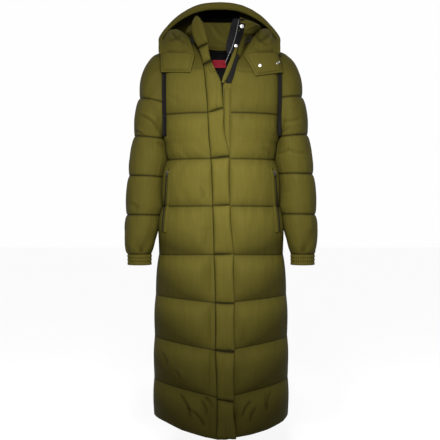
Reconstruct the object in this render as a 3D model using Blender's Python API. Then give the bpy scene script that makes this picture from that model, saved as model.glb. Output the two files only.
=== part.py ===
"""Long hooded puffer coat, filled out as worn, with no wearer.

Metres, +Z up. The front faces -Y and the wearer's left is +X. The origin lies on the wearer's
shoulder line, midway between the shoulders. Padded cloth is a wall whose inner side is smooth and
whose outer side swells between the quilting seams.
"""

import math
from typing import NamedTuple

import bmesh
import bpy
import numpy as np
from mathutils import Matrix, Vector

# Cloth and seams
GAP = 0.0003            # between two pieces at a seam
LAID_GAP = 0.0020       # under a strip that lies on swelling cloth
WELT_GAP = 0.0014       # under a narrow welt or a label
SEAM_WALL = 0.0030      # padded wall where it is sewn down
BODY_PUFF = 0.0120      # what a body channel adds at its crown
SLEEVE_PUFF = 0.0080
COLLAR_PUFF = 0.0070
HOOD_PUFF = 0.0060
PLACKET_PUFF = 0.0070
TAPE = 0.0012           # woven tape
SECTION_POWER = 2.3     # superellipse of the body's level sections
CHEST_CROWN = 0.35      # place in the pillow profile where the chest turns over into the shoulder
SMOOTH_ANGLE = 40.0     # degrees; sharper edges stay sharp

# Armhole: an ellipse in a nearly upright plane
ARM_TOP = 0.030
ARM_BOTTOM = -0.235
ARM_LEVEL = (ARM_TOP + ARM_BOTTOM) / 2
ARM_HEIGHT = (ARM_TOP - ARM_BOTTOM) / 2
ARM_DEPTH = 0.083
ARM_X_TOP = 0.1755
ARM_X_BOTTOM = 0.1705

# Neck and shoulder line
NECK_X = 0.082
NECK_Z = 0.050
NECK_BACK_Z = 0.045
NECK_CROWN_Z = 0.070    # height that the shoulder dome would reach over the neck
SHOULDER_TILT = 0.2     # how much of its outward tilt the wall keeps at the shoulder seam
COLLAR_FRONT_X = 0.045
COLLAR_FRONT_Z = -0.016
OPEN_Z = -0.088         # foot of the open neck, where the zip's slider stands
FRONT_EDGE_X = 0.0062   # a front's edge at the zip
FLAT_FRONT_X = 0.030    # half-width of the unpadded strip under the placket
EDGE_TAPER = 0.032      # width over which the padding dies out at an edge
EDGE_SHARE = 0.22       # share of a panel's width over which it thins towards the side seam
SIDE_KEPT = 0.45        # padding kept at the side seam, below the armhole's foot
ARMHOLE_KEPT = 0.05     # padding kept at the armhole and just below it
UNDERARM = 0.09         # how far below the armhole the thin edge reaches
BELOW_HEM = -1.2        # lower than any hem


class Level(NamedTuple):
    """A level section of the coat's body, through its sewn-down cloth."""

    z: float
    half_width: float
    front: float
    back: float


BODY = (
    Level(-1.160, 0.2060, 0.140, 0.130),
    Level(-1.010, 0.2050, 0.139, 0.131),
    Level(-0.870, 0.2035, 0.137, 0.130),
    Level(-0.735, 0.2005, 0.134, 0.127),
    Level(-0.597, 0.1900, 0.129, 0.122),
    Level(-0.452, 0.1800, 0.124, 0.112),
    Level(-0.310, 0.1660, 0.119, 0.101),
    Level(-0.262, 0.1640, 0.119, 0.102),
    Level(-0.235, 0.1705, 0.120, 0.104),
    Level(-0.172, 0.1705, 0.122, 0.112),
    Level(-0.1025, 0.1705, 0.118, 0.118),
)


class Seam(NamedTuple):
    """A quilting seam of the body: its height at the side and its fall to the centre front."""

    z: float
    fall: float
    back_fall: float


SEAMS = (
    Seam(-1.093, 0.052, 0.012),     # hem
    Seam(-0.978, 0.044, 0.010),
    Seam(-0.849, 0.034, 0.008),
    Seam(-0.722, 0.018, 0.004),
    Seam(-0.599, -0.004, 0.000),
    Seam(-0.452, -0.001, 0.000),
    Seam(-0.309, 0.000, 0.000),
    Seam(-0.172, -0.001, 0.000),
)
CHANNEL_ROWS = (0.0, 0.22, 0.75)
ARMPIT_ROWS = (0.0, 0.30, 0.54, 0.59, 0.70, 0.84)   # the channel that holds the armhole's foot
CHEST_ROWS = (0.0, 0.35, 1.0)                       # from the top seam to the armhole's middle
DOME_ROWS = (0.25, 0.5, 0.72, 0.88, 1.0)            # quarter turns from there to the top edge
PANEL_COLUMNS = (0.0, 0.10, 0.19, 0.285, 0.34, 0.385, 0.53, 0.70, 0.87, 1.0)
BACK_COLUMNS = (0.0, 0.10, 0.19, 0.285, 0.385, 0.62, 0.85, 1.0)


class Ring(NamedTuple):
    """A sleeve ring: its outer and inner points in the XZ plane, and its half-depth."""

    out_x: float
    out_z: float
    in_x: float
    in_z: float
    depth: float
    puff: float


SLEEVE = (
    Ring(0.1759, 0.0300, 0.1709, -0.2350, 0.0830, 0.00),
    Ring(0.1960, 0.0175, 0.1752, -0.2372, 0.0845, 0.35),
    Ring(0.2160, -0.0040, 0.1785, -0.2400, 0.0850, 0.70),
    Ring(0.2320, -0.0350, 0.1812, -0.2440, 0.0850, 0.95),
    Ring(0.2400, -0.0660, 0.1830, -0.2490, 0.0840, 1.00),
    Ring(0.2450, -0.1060, 0.1840, -0.2540, 0.0825, 0.35),
    Ring(0.2530, -0.1400, 0.1842, -0.2600, 0.0805, 1.00),
    Ring(0.2590, -0.1860, 0.1842, -0.2680, 0.0780, 1.00),
    Ring(0.2630, -0.2270, 0.1842, -0.2780, 0.0745, 0.10),
    Ring(0.2690, -0.2660, 0.1845, -0.2940, 0.0715, 1.00),
    Ring(0.2760, -0.3160, 0.1855, -0.3270, 0.0680, 1.00),
    Ring(0.2800, -0.3540, 0.1880, -0.3560, 0.0655, 0.00),
    Ring(0.2830, -0.3850, 0.1905, -0.3860, 0.0640, 1.00),
    Ring(0.2860, -0.4400, 0.1960, -0.4400, 0.0620, 1.00),
    Ring(0.2885, -0.4770, 0.2000, -0.4770, 0.0600, 0.00),
    Ring(0.2910, -0.5080, 0.2035, -0.5080, 0.0585, 1.00),
    Ring(0.2905, -0.5600, 0.2100, -0.5600, 0.0530, 1.00),
    Ring(0.2850, -0.5980, 0.2200, -0.5980, 0.0410, 0.00),
)
SLEEVE_SIDES = 12
SLEEVE_LEAN = 0.020     # how far forward the wrist hangs
ELBOW_Z = -0.230        # where the forearm starts to lean
FOREARM = 0.370         # height from there to the wrist
INNER_PUFF = 0.24       # puff of the sleeve's body side, as a share of its outer side
CUFF_RINGS = ((-0.5984, 1.0), (-0.6150, 0.99), (-0.6310, 0.975))    # height and width share
CUFF_WALL = 0.0045


class PlacketRow(NamedTuple):
    """The storm flap's side edges at a height."""

    z: float
    stitched_x: float
    free_x: float


PLACKET = (
    PlacketRow(-1.150, -0.0150, 0.0440),
    PlacketRow(-1.030, -0.0120, 0.0380),
    PlacketRow(-0.881, -0.0175, 0.0392),
    PlacketRow(-0.741, -0.0175, 0.0392),
    PlacketRow(-0.597, -0.0215, 0.0370),
    PlacketRow(-0.450, -0.0257, 0.0258),
    PlacketRow(-0.300, -0.0315, 0.0235),
    PlacketRow(-0.233, -0.0380, 0.0125),
    PlacketRow(-0.171, -0.0405, 0.0075),
    PlacketRow(-0.129, -0.0445, 0.0040),
    PlacketRow(-0.087, -0.0500, 0.0000),
    PlacketRow(-0.033, -0.0600, -0.0190),
    PlacketRow(-0.004, -0.0630, -0.0310),
)


# ---------------------------------------------------------------------------------------------
# Body surface
# ---------------------------------------------------------------------------------------------

def column(table: tuple, name: str, z: float) -> float:
    """Read one column of a table at a height, straight between its rows."""
    heights = [row.z for row in table]
    values = [getattr(row, name) for row in table]
    return float(np.interp(z, heights, values))


def arm_x(z: float) -> float:
    """X of the armhole's plane at a height."""
    along = (z - ARM_BOTTOM) / (ARM_TOP - ARM_BOTTOM)
    return ARM_X_BOTTOM + (ARM_X_TOP - ARM_X_BOTTOM) * along


def arm_y(z: float) -> float:
    """Half-depth of the armhole at a height."""
    if z <= ARM_BOTTOM or z >= ARM_TOP:
        return 0.0
    return ARM_DEPTH * math.sqrt(1 - ((z - ARM_LEVEL) / ARM_HEIGHT) ** 2)


def top_z(x: float, is_back: bool) -> float:
    """Height of a body panel's top edge: shoulder seam, neckline and the open front edge."""
    if x >= NECK_X:
        along = (x - NECK_X) / (ARM_X_TOP - NECK_X)
        return NECK_Z + (ARM_TOP - NECK_Z) * along
    if is_back:
        bow = math.cos(0.5 * math.pi * x / NECK_X)
        return NECK_Z + (NECK_BACK_Z - NECK_Z) * bow
    if x <= COLLAR_FRONT_X:
        return OPEN_Z + (COLLAR_FRONT_Z - OPEN_Z) * x / COLLAR_FRONT_X
    turn = 0.5 * math.pi * (x - COLLAR_FRONT_X) / (NECK_X - COLLAR_FRONT_X)
    return COLLAR_FRONT_Z + (NECK_Z - COLLAR_FRONT_Z) * (1 - math.cos(turn)) ** 0.8


def dome_z(x: float) -> float:
    """Height at which the shoulder dome would close over a given x."""
    if x >= NECK_X:
        return top_z(x, False)
    return NECK_Z + (NECK_CROWN_Z - NECK_Z) * (1 - x / NECK_X)


def section(z: float, share: float, is_back: bool) -> tuple[float, float]:
    """A point of the body's section at or below the armhole's middle.

    Args:
        z: height.
        share: 0 at the centre line, 1 at the side seam or armhole edge.
        is_back: the back half, or else the front half.

    Returns:
        x and the depth, both positive.
    """
    depth = column(BODY, "back" if is_back else "front", z)
    edge_y = arm_y(z)
    turn = math.acos(min(1.0, (edge_y / depth) ** (SECTION_POWER / 2)))
    edge_x = arm_x(z) if edge_y > 0 else column(BODY, "half_width", z)
    half_width = edge_x / math.sin(turn) ** (2 / SECTION_POWER)
    angle = turn * share
    x = half_width * math.sin(angle) ** (2 / SECTION_POWER)
    return x, depth * math.cos(angle) ** (2 / SECTION_POWER)


def body_rows() -> list[tuple[str, int, float]]:
    """Rows of a body panel from hem to top: their kind, channel and place in it."""
    rows = []
    for channel in range(len(SEAMS) - 1):
        holds_armpit = channel == len(SEAMS) - 2
        for place in ARMPIT_ROWS if holds_armpit else CHANNEL_ROWS:
            rows.append(("channel", channel, place))
    rows += [("chest", len(SEAMS) - 1, place) for place in CHEST_ROWS]
    rows += [("dome", len(SEAMS) - 1, place) for place in DOME_ROWS]
    return rows


def seam_z(index: int, x: float, is_back: bool) -> float:
    """Height of a body seam at a distance x from the centre line."""
    seam = SEAMS[index]
    half_width = column(BODY, "half_width", seam.z)
    fall = seam.back_fall if is_back else seam.fall
    return seam.z - fall * max(0.0, 1 - x / half_width)


def swell(place: float) -> float:
    """Pillow profile of a channel, 0 at its seams and 1 at its crown."""
    return (1 - abs(2 * place - 1) ** 2.6) ** 0.6


def body_grid(is_back: bool) -> tuple[np.ndarray, np.ndarray]:
    """Inner points of the +X half of the front or back, and the puff at each of them.

    Returns:
        Points by row and column, and the height that the padding adds there.
    """
    sign = 1 if is_back else -1
    points = []
    puffs = []
    for kind, channel, place in body_rows():
        row = []
        puff_row = []
        for share in BACK_COLUMNS if is_back else PANEL_COLUMNS:
            if kind == "channel":
                x_guess = section(SEAMS[channel].z, share, is_back)[0]
                low = seam_z(channel, x_guess, is_back)
                high = seam_z(channel + 1, x_guess, is_back)
                z = low + (high - low) * place
                x, y = section(z, share, is_back)
                puff = swell(place)
            elif kind == "chest":
                x_guess = section(ARM_LEVEL, share, is_back)[0]
                low = seam_z(channel, x_guess, is_back)
                z = low + (ARM_LEVEL - low) * place
                x, y = section(z, share, is_back)
                puff = swell(CHEST_CROWN * place)
            else:
                x, full_y = section(ARM_LEVEL, share, is_back)
                x *= 1 + (arm_x(ARM_TOP) / arm_x(ARM_LEVEL) - 1) * place * share
                top = top_z(x, is_back)
                z = ARM_LEVEL + (top - ARM_LEVEL) * math.sin(0.5 * math.pi * place)
                rise = (z - ARM_LEVEL) / (dome_z(x) - ARM_LEVEL)
                y = full_y * math.sqrt(max(0.0, 1 - rise ** 2))
                puff = swell(CHEST_CROWN + (1 - CHEST_CROWN) * place)
                if share == 1.0:
                    x = arm_x(z)
                    y = arm_y(z)
            edge = edge_share(x, z, share, is_back)
            row.append((x, sign * y, z))
            puff_row.append(puff * edge)
        points.append(row)
        puffs.append(puff_row)
    return np.array(points), np.array(puffs) * BODY_PUFF


def edge_share(x: float, z: float, share: float, is_back: bool) -> float:
    """How much of the padding is left near a panel's edges, from 0 to 1."""
    side = min(1.0, (1 - share) / EDGE_SHARE)
    least = SIDE_KEPT if z < ARM_BOTTOM - UNDERARM else ARMHOLE_KEPT
    kept = least + (1 - least) * side
    if is_back:
        return kept
    inner = max(0.0, min(1.0, (x - FLAT_FRONT_X) / EDGE_TAPER))
    return kept * math.sqrt(inner)


# ---------------------------------------------------------------------------------------------
# Walls
# ---------------------------------------------------------------------------------------------

def unit(vectors: np.ndarray) -> np.ndarray:
    """Scale vectors to length one."""
    lengths = np.linalg.norm(vectors, axis=-1, keepdims=True)
    return vectors / np.maximum(lengths, 1e-12)


def grid_normals(grid: np.ndarray, is_closed: bool) -> np.ndarray:
    """Unit normals of a grid of points, across its columns times up its rows."""
    if is_closed:
        across = np.roll(grid, -1, axis=1) - np.roll(grid, 1, axis=1)
    else:
        across = np.gradient(grid, axis=1)
    along = np.gradient(grid, axis=0)
    return unit(np.cross(across, along))


def wall_faces(rows: int, columns: int, is_closed: bool) -> list[tuple[int, ...]]:
    """Faces of a wall: its two sides and the strips that close its edges."""
    def index(side: int, row: int, place: int) -> int:
        return side * rows * columns + row * columns + place % columns

    spans = columns if is_closed else columns - 1
    faces = []
    for row in range(rows - 1):
        for place in range(spans):
            for side in (0, 1):
                faces.append((index(side, row, place), index(side, row, place + 1),
                              index(side, row + 1, place + 1), index(side, row + 1, place)))
    for row in (0, rows - 1):
        for place in range(spans):
            faces.append((index(0, row, place), index(0, row, place + 1),
                          index(1, row, place + 1), index(1, row, place)))
    if not is_closed:
        for place in (0, columns - 1):
            for row in range(rows - 1):
                faces.append((index(0, row, place), index(0, row + 1, place),
                              index(1, row + 1, place), index(1, row, place)))
    return faces


def add_wall(name: str, finish: str, inner: np.ndarray, outer: np.ndarray,
             is_closed: bool = False) -> bpy.types.Object:
    """Make a closed wall between two grids of points."""
    rows, columns = inner.shape[:2]
    vertices = np.concatenate([inner.reshape(-1, 3), outer.reshape(-1, 3)])
    mesh = bpy.data.meshes.new(name)
    mesh.from_pydata(vertices.tolist(), [], wall_faces(rows, columns, is_closed))
    return finish_mesh(name, finish, mesh)


def finish_mesh(name: str, finish: str, mesh: bpy.types.Mesh) -> bpy.types.Object:
    """Turn a mesh's faces outward, shade it and put it in the coat's collection."""
    work = bmesh.new()
    work.from_mesh(mesh)
    bmesh.ops.recalc_face_normals(work, faces=work.faces)
    if work.calc_volume(signed=True) < 0:
        bmesh.ops.reverse_faces(work, faces=work.faces)
    work.to_mesh(mesh)
    work.free()
    mesh.shade_smooth()
    mesh.set_sharp_from_angle(angle=math.radians(SMOOTH_ANGLE))
    part = bpy.data.objects.new(name, mesh)
    part.data.materials.append(finishes()[finish])
    coat_collection().objects.link(part)
    return part


# ---------------------------------------------------------------------------------------------
# Finishes and collection
# ---------------------------------------------------------------------------------------------

class Finish(NamedTuple):
    """Colour, roughness and metallic value of a material."""

    colour: tuple[float, float, float]
    roughness: float
    metallic: float


FINISHES = {
    "shell_cloth": Finish((0.160, 0.135, 0.035), 0.55, 0.0),
    "lining_cloth": Finish((0.008, 0.008, 0.009), 0.50, 0.0),
    "zip_tape": Finish((0.010, 0.010, 0.010), 0.80, 0.0),
    "dark_metal": Finish((0.020, 0.018, 0.016), 0.35, 0.9),
    "snap_metal": Finish((0.640, 0.640, 0.620), 0.25, 1.0),
    "label_cloth": Finish((0.400, 0.010, 0.020), 0.70, 0.0),
}


def finishes() -> dict[str, bpy.types.Material]:
    """Make each material once and return them by name."""
    made = {}
    for name, look in FINISHES.items():
        material = bpy.data.materials.get(name)
        if material is None:
            material = bpy.data.materials.new(name)
            material.use_nodes = True
            shader = material.node_tree.nodes["Principled BSDF"]
            shader.inputs["Base Color"].default_value = (*look.colour, 1.0)
            shader.inputs["Roughness"].default_value = look.roughness
            shader.inputs["Metallic"].default_value = look.metallic
        made[name] = material
    return made


def coat_collection() -> bpy.types.Collection:
    """Return the coat's collection, made on first use."""
    collection = bpy.data.collections.get("long_puffer_coat")
    if collection is None:
        collection = bpy.data.collections.new("long_puffer_coat")
        bpy.context.scene.collection.children.link(collection)
    return collection


# ---------------------------------------------------------------------------------------------
# Fronts, back, sleeves and cuffs
# ---------------------------------------------------------------------------------------------

def mirrored(grid: np.ndarray) -> np.ndarray:
    """Mirror a grid of points or vectors in the YZ plane."""
    return grid * np.array([-1.0, 1.0, 1.0])


def arm_axis() -> np.ndarray:
    """Direction across the armhole's plane, out along the arm."""
    return unit(np.array([1.0, 0.0, -(ARM_X_TOP - ARM_X_BOTTOM) / (ARM_TOP - ARM_BOTTOM)]))


def panel_walls(is_back: bool) -> tuple[np.ndarray, np.ndarray]:
    """Inner and outer grids of the +X half of a body panel."""
    inner, puff = body_grid(is_back)
    normals = grid_normals(inner, False)
    if is_back:
        normals = -normals
    across_arm = arm_axis()
    for row in range(inner.shape[0]):
        if inner[row, -1, 2] > ARM_BOTTOM - 2 * GAP:
            edge = normals[row, -1]
            normals[row, -1] = edge - across_arm * np.dot(edge, across_arm)
        else:
            normals[row, -1] = (1.0, 0.0, 0.0)
    for place in range(inner.shape[1]):
        if inner[-1, place, 0] >= NECK_X - 2 * GAP:
            normals[-1, place] = (normals[-1, place][0] * SHOULDER_TILT, 0.0, 1.0)
    if is_back:
        normals[:, 0, 0] = 0.0
    normals = unit(normals)
    outer = inner + normals * (SEAM_WALL + puff)[:, :, None]
    side = 1 if is_back else -1
    for grid in (inner, outer):
        near_seam = np.abs(grid[:, :, 1]) < GAP / 2
        grid[:, :, 1] = np.where(near_seam, side * GAP / 2, grid[:, :, 1])
    if not is_back:
        shift = np.clip(1 - inner[:, :, 0] / FLAT_FRONT_X, 0.0, 1.0) * FRONT_EDGE_X
        inner[:, :, 0] += shift
        outer[:, :, 0] += shift
    return inner, outer


def build_body() -> tuple[tuple[np.ndarray, np.ndarray], tuple[np.ndarray, np.ndarray]]:
    """Make the two fronts and the back.

    Returns:
        The inner and outer grids of the left front, and those of the left half of the back.
    """
    inner, outer = panel_walls(False)
    add_wall("front_left", "shell_cloth", inner, outer)
    add_wall("front_right", "shell_cloth", mirrored(inner), mirrored(outer))
    back_inner, back_outer = panel_walls(True)
    joined = []
    for half in (back_inner, back_outer):
        joined.append(np.concatenate([mirrored(half)[:, :0:-1], half], axis=1))
    add_wall("back", "shell_cloth", joined[0], joined[1])
    return (inner, outer), (back_inner, back_outer)


def sleeve_grids() -> tuple[np.ndarray, np.ndarray]:
    """Inner and outer grids of the left sleeve, ring by ring down the arm."""
    rings = []
    puffs = []
    for ring in SLEEVE:
        middle = np.array([(ring.out_x + ring.in_x) / 2, 0.0, (ring.out_z + ring.in_z) / 2])
        reach = np.array([(ring.out_x - ring.in_x) / 2, 0.0, (ring.out_z - ring.in_z) / 2])
        lean = SLEEVE_LEAN * max(0.0, (ELBOW_Z - ring.out_z) / FOREARM)
        points = []
        puff_row = []
        for side in range(SLEEVE_SIDES):
            angle = 2 * math.pi * side / SLEEVE_SIDES
            points.append(middle + reach * math.cos(angle)
                          + np.array([0.0, ring.depth * math.sin(angle) - lean, 0.0]))
            outer_share = 0.5 + 0.5 * math.cos(angle)
            puff_row.append(ring.puff * (INNER_PUFF + (1 - INNER_PUFF) * outer_share))
        rings.append(points)
        puffs.append(puff_row)
    inner = np.array(rings)
    normals = grid_normals(inner, True)
    outward = inner - inner.mean(axis=1, keepdims=True)
    if np.sum(normals * outward) < 0:
        normals = -normals
    across_arm = arm_axis()
    normals[0] -= across_arm * (normals[0] @ across_arm)[:, None]
    normals[-1][:, 2] = 0.0
    normals = unit(normals)
    thickness = SEAM_WALL + np.array(puffs) * SLEEVE_PUFF
    return inner, inner + normals * thickness[:, :, None]


def build_sleeves() -> None:
    """Make the two sleeves and their gathered cuffs."""
    inner, outer = sleeve_grids()
    middle = inner[-1].mean(axis=0)
    cuff_inner = []
    cuff_outer = []
    for z, reach in CUFF_RINGS:
        ring = middle + (inner[-1] - middle) * reach
        ring[:, 2] = z
        away = unit(ring - np.array([middle[0], middle[1], z]))
        cuff_inner.append(ring)
        cuff_outer.append(ring + away * CUFF_WALL)
    cuff_inner = np.array(cuff_inner)
    cuff_outer = np.array(cuff_outer)
    for side, turn in (("left", lambda grid: grid), ("right", mirrored)):
        add_wall(f"sleeve_{side}", "shell_cloth", turn(inner), turn(outer), True)
        add_wall(f"cuff_{side}", "shell_cloth", turn(cuff_inner), turn(cuff_outer), True)


# ---------------------------------------------------------------------------------------------
# Pieces that lie on the left front, or on the right front as its mirror
# ---------------------------------------------------------------------------------------------

def front_spot(outer: np.ndarray, row: float, share: float) -> np.ndarray:
    """Point on the outside of the left front at a row and a share of its width."""
    low = min(int(row), outer.shape[0] - 2)
    line = outer[low] + (outer[low + 1] - outer[low]) * (row - low)
    return np.array([np.interp(share, PANEL_COLUMNS, line[:, axis]) for axis in range(3)])


def share_of(outer: np.ndarray, row: float, x: float) -> float:
    """Share of the front's width at which its outside reaches a given x."""
    low = min(int(row), outer.shape[0] - 2)
    line = outer[low] + (outer[low + 1] - outer[low]) * (row - low)
    return float(np.interp(abs(x), line[:, 0], PANEL_COLUMNS))


def row_of(outer: np.ndarray, share: float, z: float) -> float:
    """Row at which the outside of the front reaches a given height."""
    heights = [front_spot(outer, row, share)[2] for row in range(outer.shape[0])]
    return float(np.interp(z, heights, range(outer.shape[0])))


def rows_between(outer: np.ndarray, share: float, foot: float, top: float) -> list[float]:
    """The rows of the front between two heights, with both ends."""
    first = row_of(outer, share, foot)
    last = row_of(outer, share, top)
    inside = [row for row in range(outer.shape[0]) if first + 0.15 < row < last - 0.15]
    return [first, *inside, last]


def lifted_wall(under: np.ndarray, lift: np.ndarray, thickness: np.ndarray,
                facing: tuple[float, float, float]) -> tuple[np.ndarray, np.ndarray]:
    """Raise a grid off the cloth it lies on and give it a thickness.

    Args:
        under: points on the cloth.
        lift: clearance above the cloth at each point.
        thickness: thickness of the piece at each point.
        facing: a direction on the outer side.

    Returns:
        The inner and outer grids.
    """
    normals = grid_normals(under, False)
    if np.sum(normals * np.array(facing)) < 0:
        normals = -normals
    inner = under + normals * lift[:, :, None]
    return inner, inner + normals * thickness[:, :, None]


def add_strip(name: str, finish: str, under: np.ndarray, lift: float, thickness: float,
              facing: tuple[float, float, float] = (0.0, -1.0, 0.0)) -> bpy.types.Object:
    """Make an even strip that lies on points of the cloth."""
    shape = under.shape[:2]
    inner, outer = lifted_wall(under, np.full(shape, lift), np.full(shape, thickness), facing)
    return add_wall(name, finish, inner, outer)


PLACKET_COLUMNS = (0.0, 0.22, 0.78, 1.0)
PLACKET_LIFT = (0.0014, 0.0038, 0.0050, 0.0052)
PLACKET_SWELL = (0.05, 0.95, 0.95, 0.15)
PLACKET_WALL = 0.0040
PLACKET_SHARE = 0.19        # share of the front's width along which its rows are counted
PLACKET_CHEST_SWELL = 0.8
PLACKET_JOIN_Z = -0.052     # where it leaves the front for the collar
UNDER_PLACKET_X = (0.0075, 0.0290)
UNDER_PLACKET_WALL = 0.0022
ZIP_TAPE_DEPTH = 0.0024     # the zip's tape lies this far behind the fronts' faces
ZIP_TAPE_RISE = -0.012      # from the foot of the open neck to the tapes' top
FLAP_LIFT = 0.0080          # the flap's free edge stands off the front near the open neck
FLAP_LIFT_LOW = -0.200
FLAP_LIFT_HIGH = -0.110


class CollarFlapRow(NamedTuple):
    """The storm flap's side edges on the collar's right end."""

    z: float
    stitched_x: float
    stitched_y: float
    free_x: float
    free_y: float
    swell: float


COLLAR_FLAP = (
    CollarFlapRow(-0.022, -0.0640, -0.1125, -0.0275, -0.1190, 0.0),
    CollarFlapRow(0.0000, -0.0690, -0.1050, -0.0315, -0.1140, 1.0),
    CollarFlapRow(0.0220, -0.0730, -0.1000, -0.0345, -0.1110, 0.7),
    CollarFlapRow(0.0340, -0.0745, -0.0980, -0.0360, -0.1090, 0.0),
    CollarFlapRow(0.0560, -0.0830, -0.0960, -0.0400, -0.1090, 0.9),
    CollarFlapRow(0.0860, -0.0880, -0.0980, -0.0470, -0.1120, 1.0),
    CollarFlapRow(0.1060, -0.0840, -0.1000, -0.0560, -0.1110, 0.5),
    CollarFlapRow(0.1180, -0.0740, -0.1010, -0.0660, -0.1050, 0.0),
)


def placket_grids(outer: np.ndarray) -> tuple[np.ndarray, np.ndarray]:
    """Inner and outer grids of the storm flap, from the hem to the tip of the collar."""
    under = []
    swells = []
    rows = rows_between(outer, PLACKET_SHARE, BELOW_HEM, PLACKET_JOIN_Z)
    kinds = body_rows()
    for row in rows:
        z_middle = front_spot(outer, row, PANEL_COLUMNS[1])[2]
        left = column(PLACKET, "stitched_x", z_middle)
        right = column(PLACKET, "free_x", z_middle)
        line = []
        for place in PLACKET_COLUMNS:
            x = left + (right - left) * place
            spot = front_spot(outer, row, share_of(outer, row, x))
            line.append((x, spot[1], spot[2]))
        under.append(line)
        kind, _, place = kinds[min(round(row), len(kinds) - 1)]
        swells.append(swell(place) if kind == "channel" else PLACKET_CHEST_SWELL)
    for flap in COLLAR_FLAP:
        line = []
        for place in PLACKET_COLUMNS:
            x = flap.stitched_x + (flap.free_x - flap.stitched_x) * place
            y = flap.stitched_y + (flap.free_y - flap.stitched_y) * place
            line.append((x, y, flap.z))
        under.append(line)
        swells.append(flap.swell)
    shape = (len(under), len(PLACKET_COLUMNS))
    heights = np.array([line[0][2] for line in under])
    rise = np.clip((heights - FLAP_LIFT_LOW) / (FLAP_LIFT_HIGH - FLAP_LIFT_LOW), 0.0, 1.0)
    rise[len(rows):] = 0.0
    lift = np.tile(PLACKET_LIFT, (shape[0], 1))
    lift = lift + FLAP_LIFT * np.outer(rise, PLACKET_COLUMNS)
    across = np.array(PLACKET_SWELL)
    thickness = PLACKET_WALL + PLACKET_PUFF * np.outer(swells, across)
    return lifted_wall(np.array(under), lift, thickness, (0.0, -1.0, 0.0))


def build_placket(outer: np.ndarray) -> None:
    """Make the storm flap, the zip's welt under it and the zip's two tapes."""
    inner_grid, outer_grid = placket_grids(outer)
    add_wall("placket", "shell_cloth", inner_grid, outer_grid)
    rows = rows_between(outer, PANEL_COLUMNS[1], BELOW_HEM, OPEN_Z + ZIP_TAPE_RISE)
    welt = []
    for row in rows:
        line = []
        for x in UNDER_PLACKET_X:
            spot = front_spot(outer, row, share_of(outer, row, x))
            line.append((x, spot[1], spot[2]))
        welt.append(line)
    add_strip("under_placket", "shell_cloth", np.array(welt), WELT_GAP, UNDER_PLACKET_WALL)
    tape = []
    for row in rows:
        edge = front_spot(outer, row, 0.0)
        y = edge[1] + ZIP_TAPE_DEPTH
        tape.append([(x, y, edge[2]) for x in (GAP, FRONT_EDGE_X - GAP)])
    tape = np.array(tape)
    add_strip("zip_tape_left", "zip_tape", tape, GAP, TAPE)
    add_strip("zip_tape_right", "zip_tape", mirrored(tape), GAP, TAPE)


ARMHOLE_TAPE_SHARES = (0.925, 0.985)    # shares of the front's width at its edges
ARMHOLE_TAPE_Z = (-0.216, -0.045)


def build_armhole_tapes(outer: np.ndarray) -> None:
    """Make the tapes along the two front armhole seams."""
    rows = rows_between(outer, ARMHOLE_TAPE_SHARES[1], *ARMHOLE_TAPE_Z)
    tape = np.array([[front_spot(outer, row, share) for share in ARMHOLE_TAPE_SHARES]
                     for row in rows])
    add_strip("armhole_tape_left", "zip_tape", tape, LAID_GAP, TAPE)
    add_strip("armhole_tape_right", "zip_tape", mirrored(tape), LAID_GAP, TAPE)


# ---------------------------------------------------------------------------------------------
# Collar
# ---------------------------------------------------------------------------------------------

COLLAR_HALF_WIDTH = 0.1160
COLLAR_DEPTH_FRONT = 0.105
COLLAR_DEPTH_BACK = 0.098
COLLAR_CENTRE_Y = -0.008
COLLAR_GAP = 0.0012     # between its foot and the neckline's edge
COLLAR_FRONT_TOP = 0.118
COLLAR_BACK_TOP = 0.140
COLLAR_LEVELS = (0.060, 0.078, 0.101)            # heights of its rows between foot and top
COLLAR_SWELLS = (0.0, 0.15, 0.9, 1.0, 0.0)
COLLAR_LEAN_Z = 0.060                            # below this it stands straight on the neckline
COLLAR_LEAN_POWER = 0.75                         # above it, it leans out fast and then stands up
FRONT_NECK_COLUMNS = (2, 3, 4, 5)                # columns of a front that end at the neckline
BACK_NECK_COLUMNS = (3, 2, 1)


def smooth(low: float, high: float, share: float) -> float:
    """Ease from one value to another."""
    return low + (high - low) * (0.5 - 0.5 * math.cos(math.pi * share))


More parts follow.
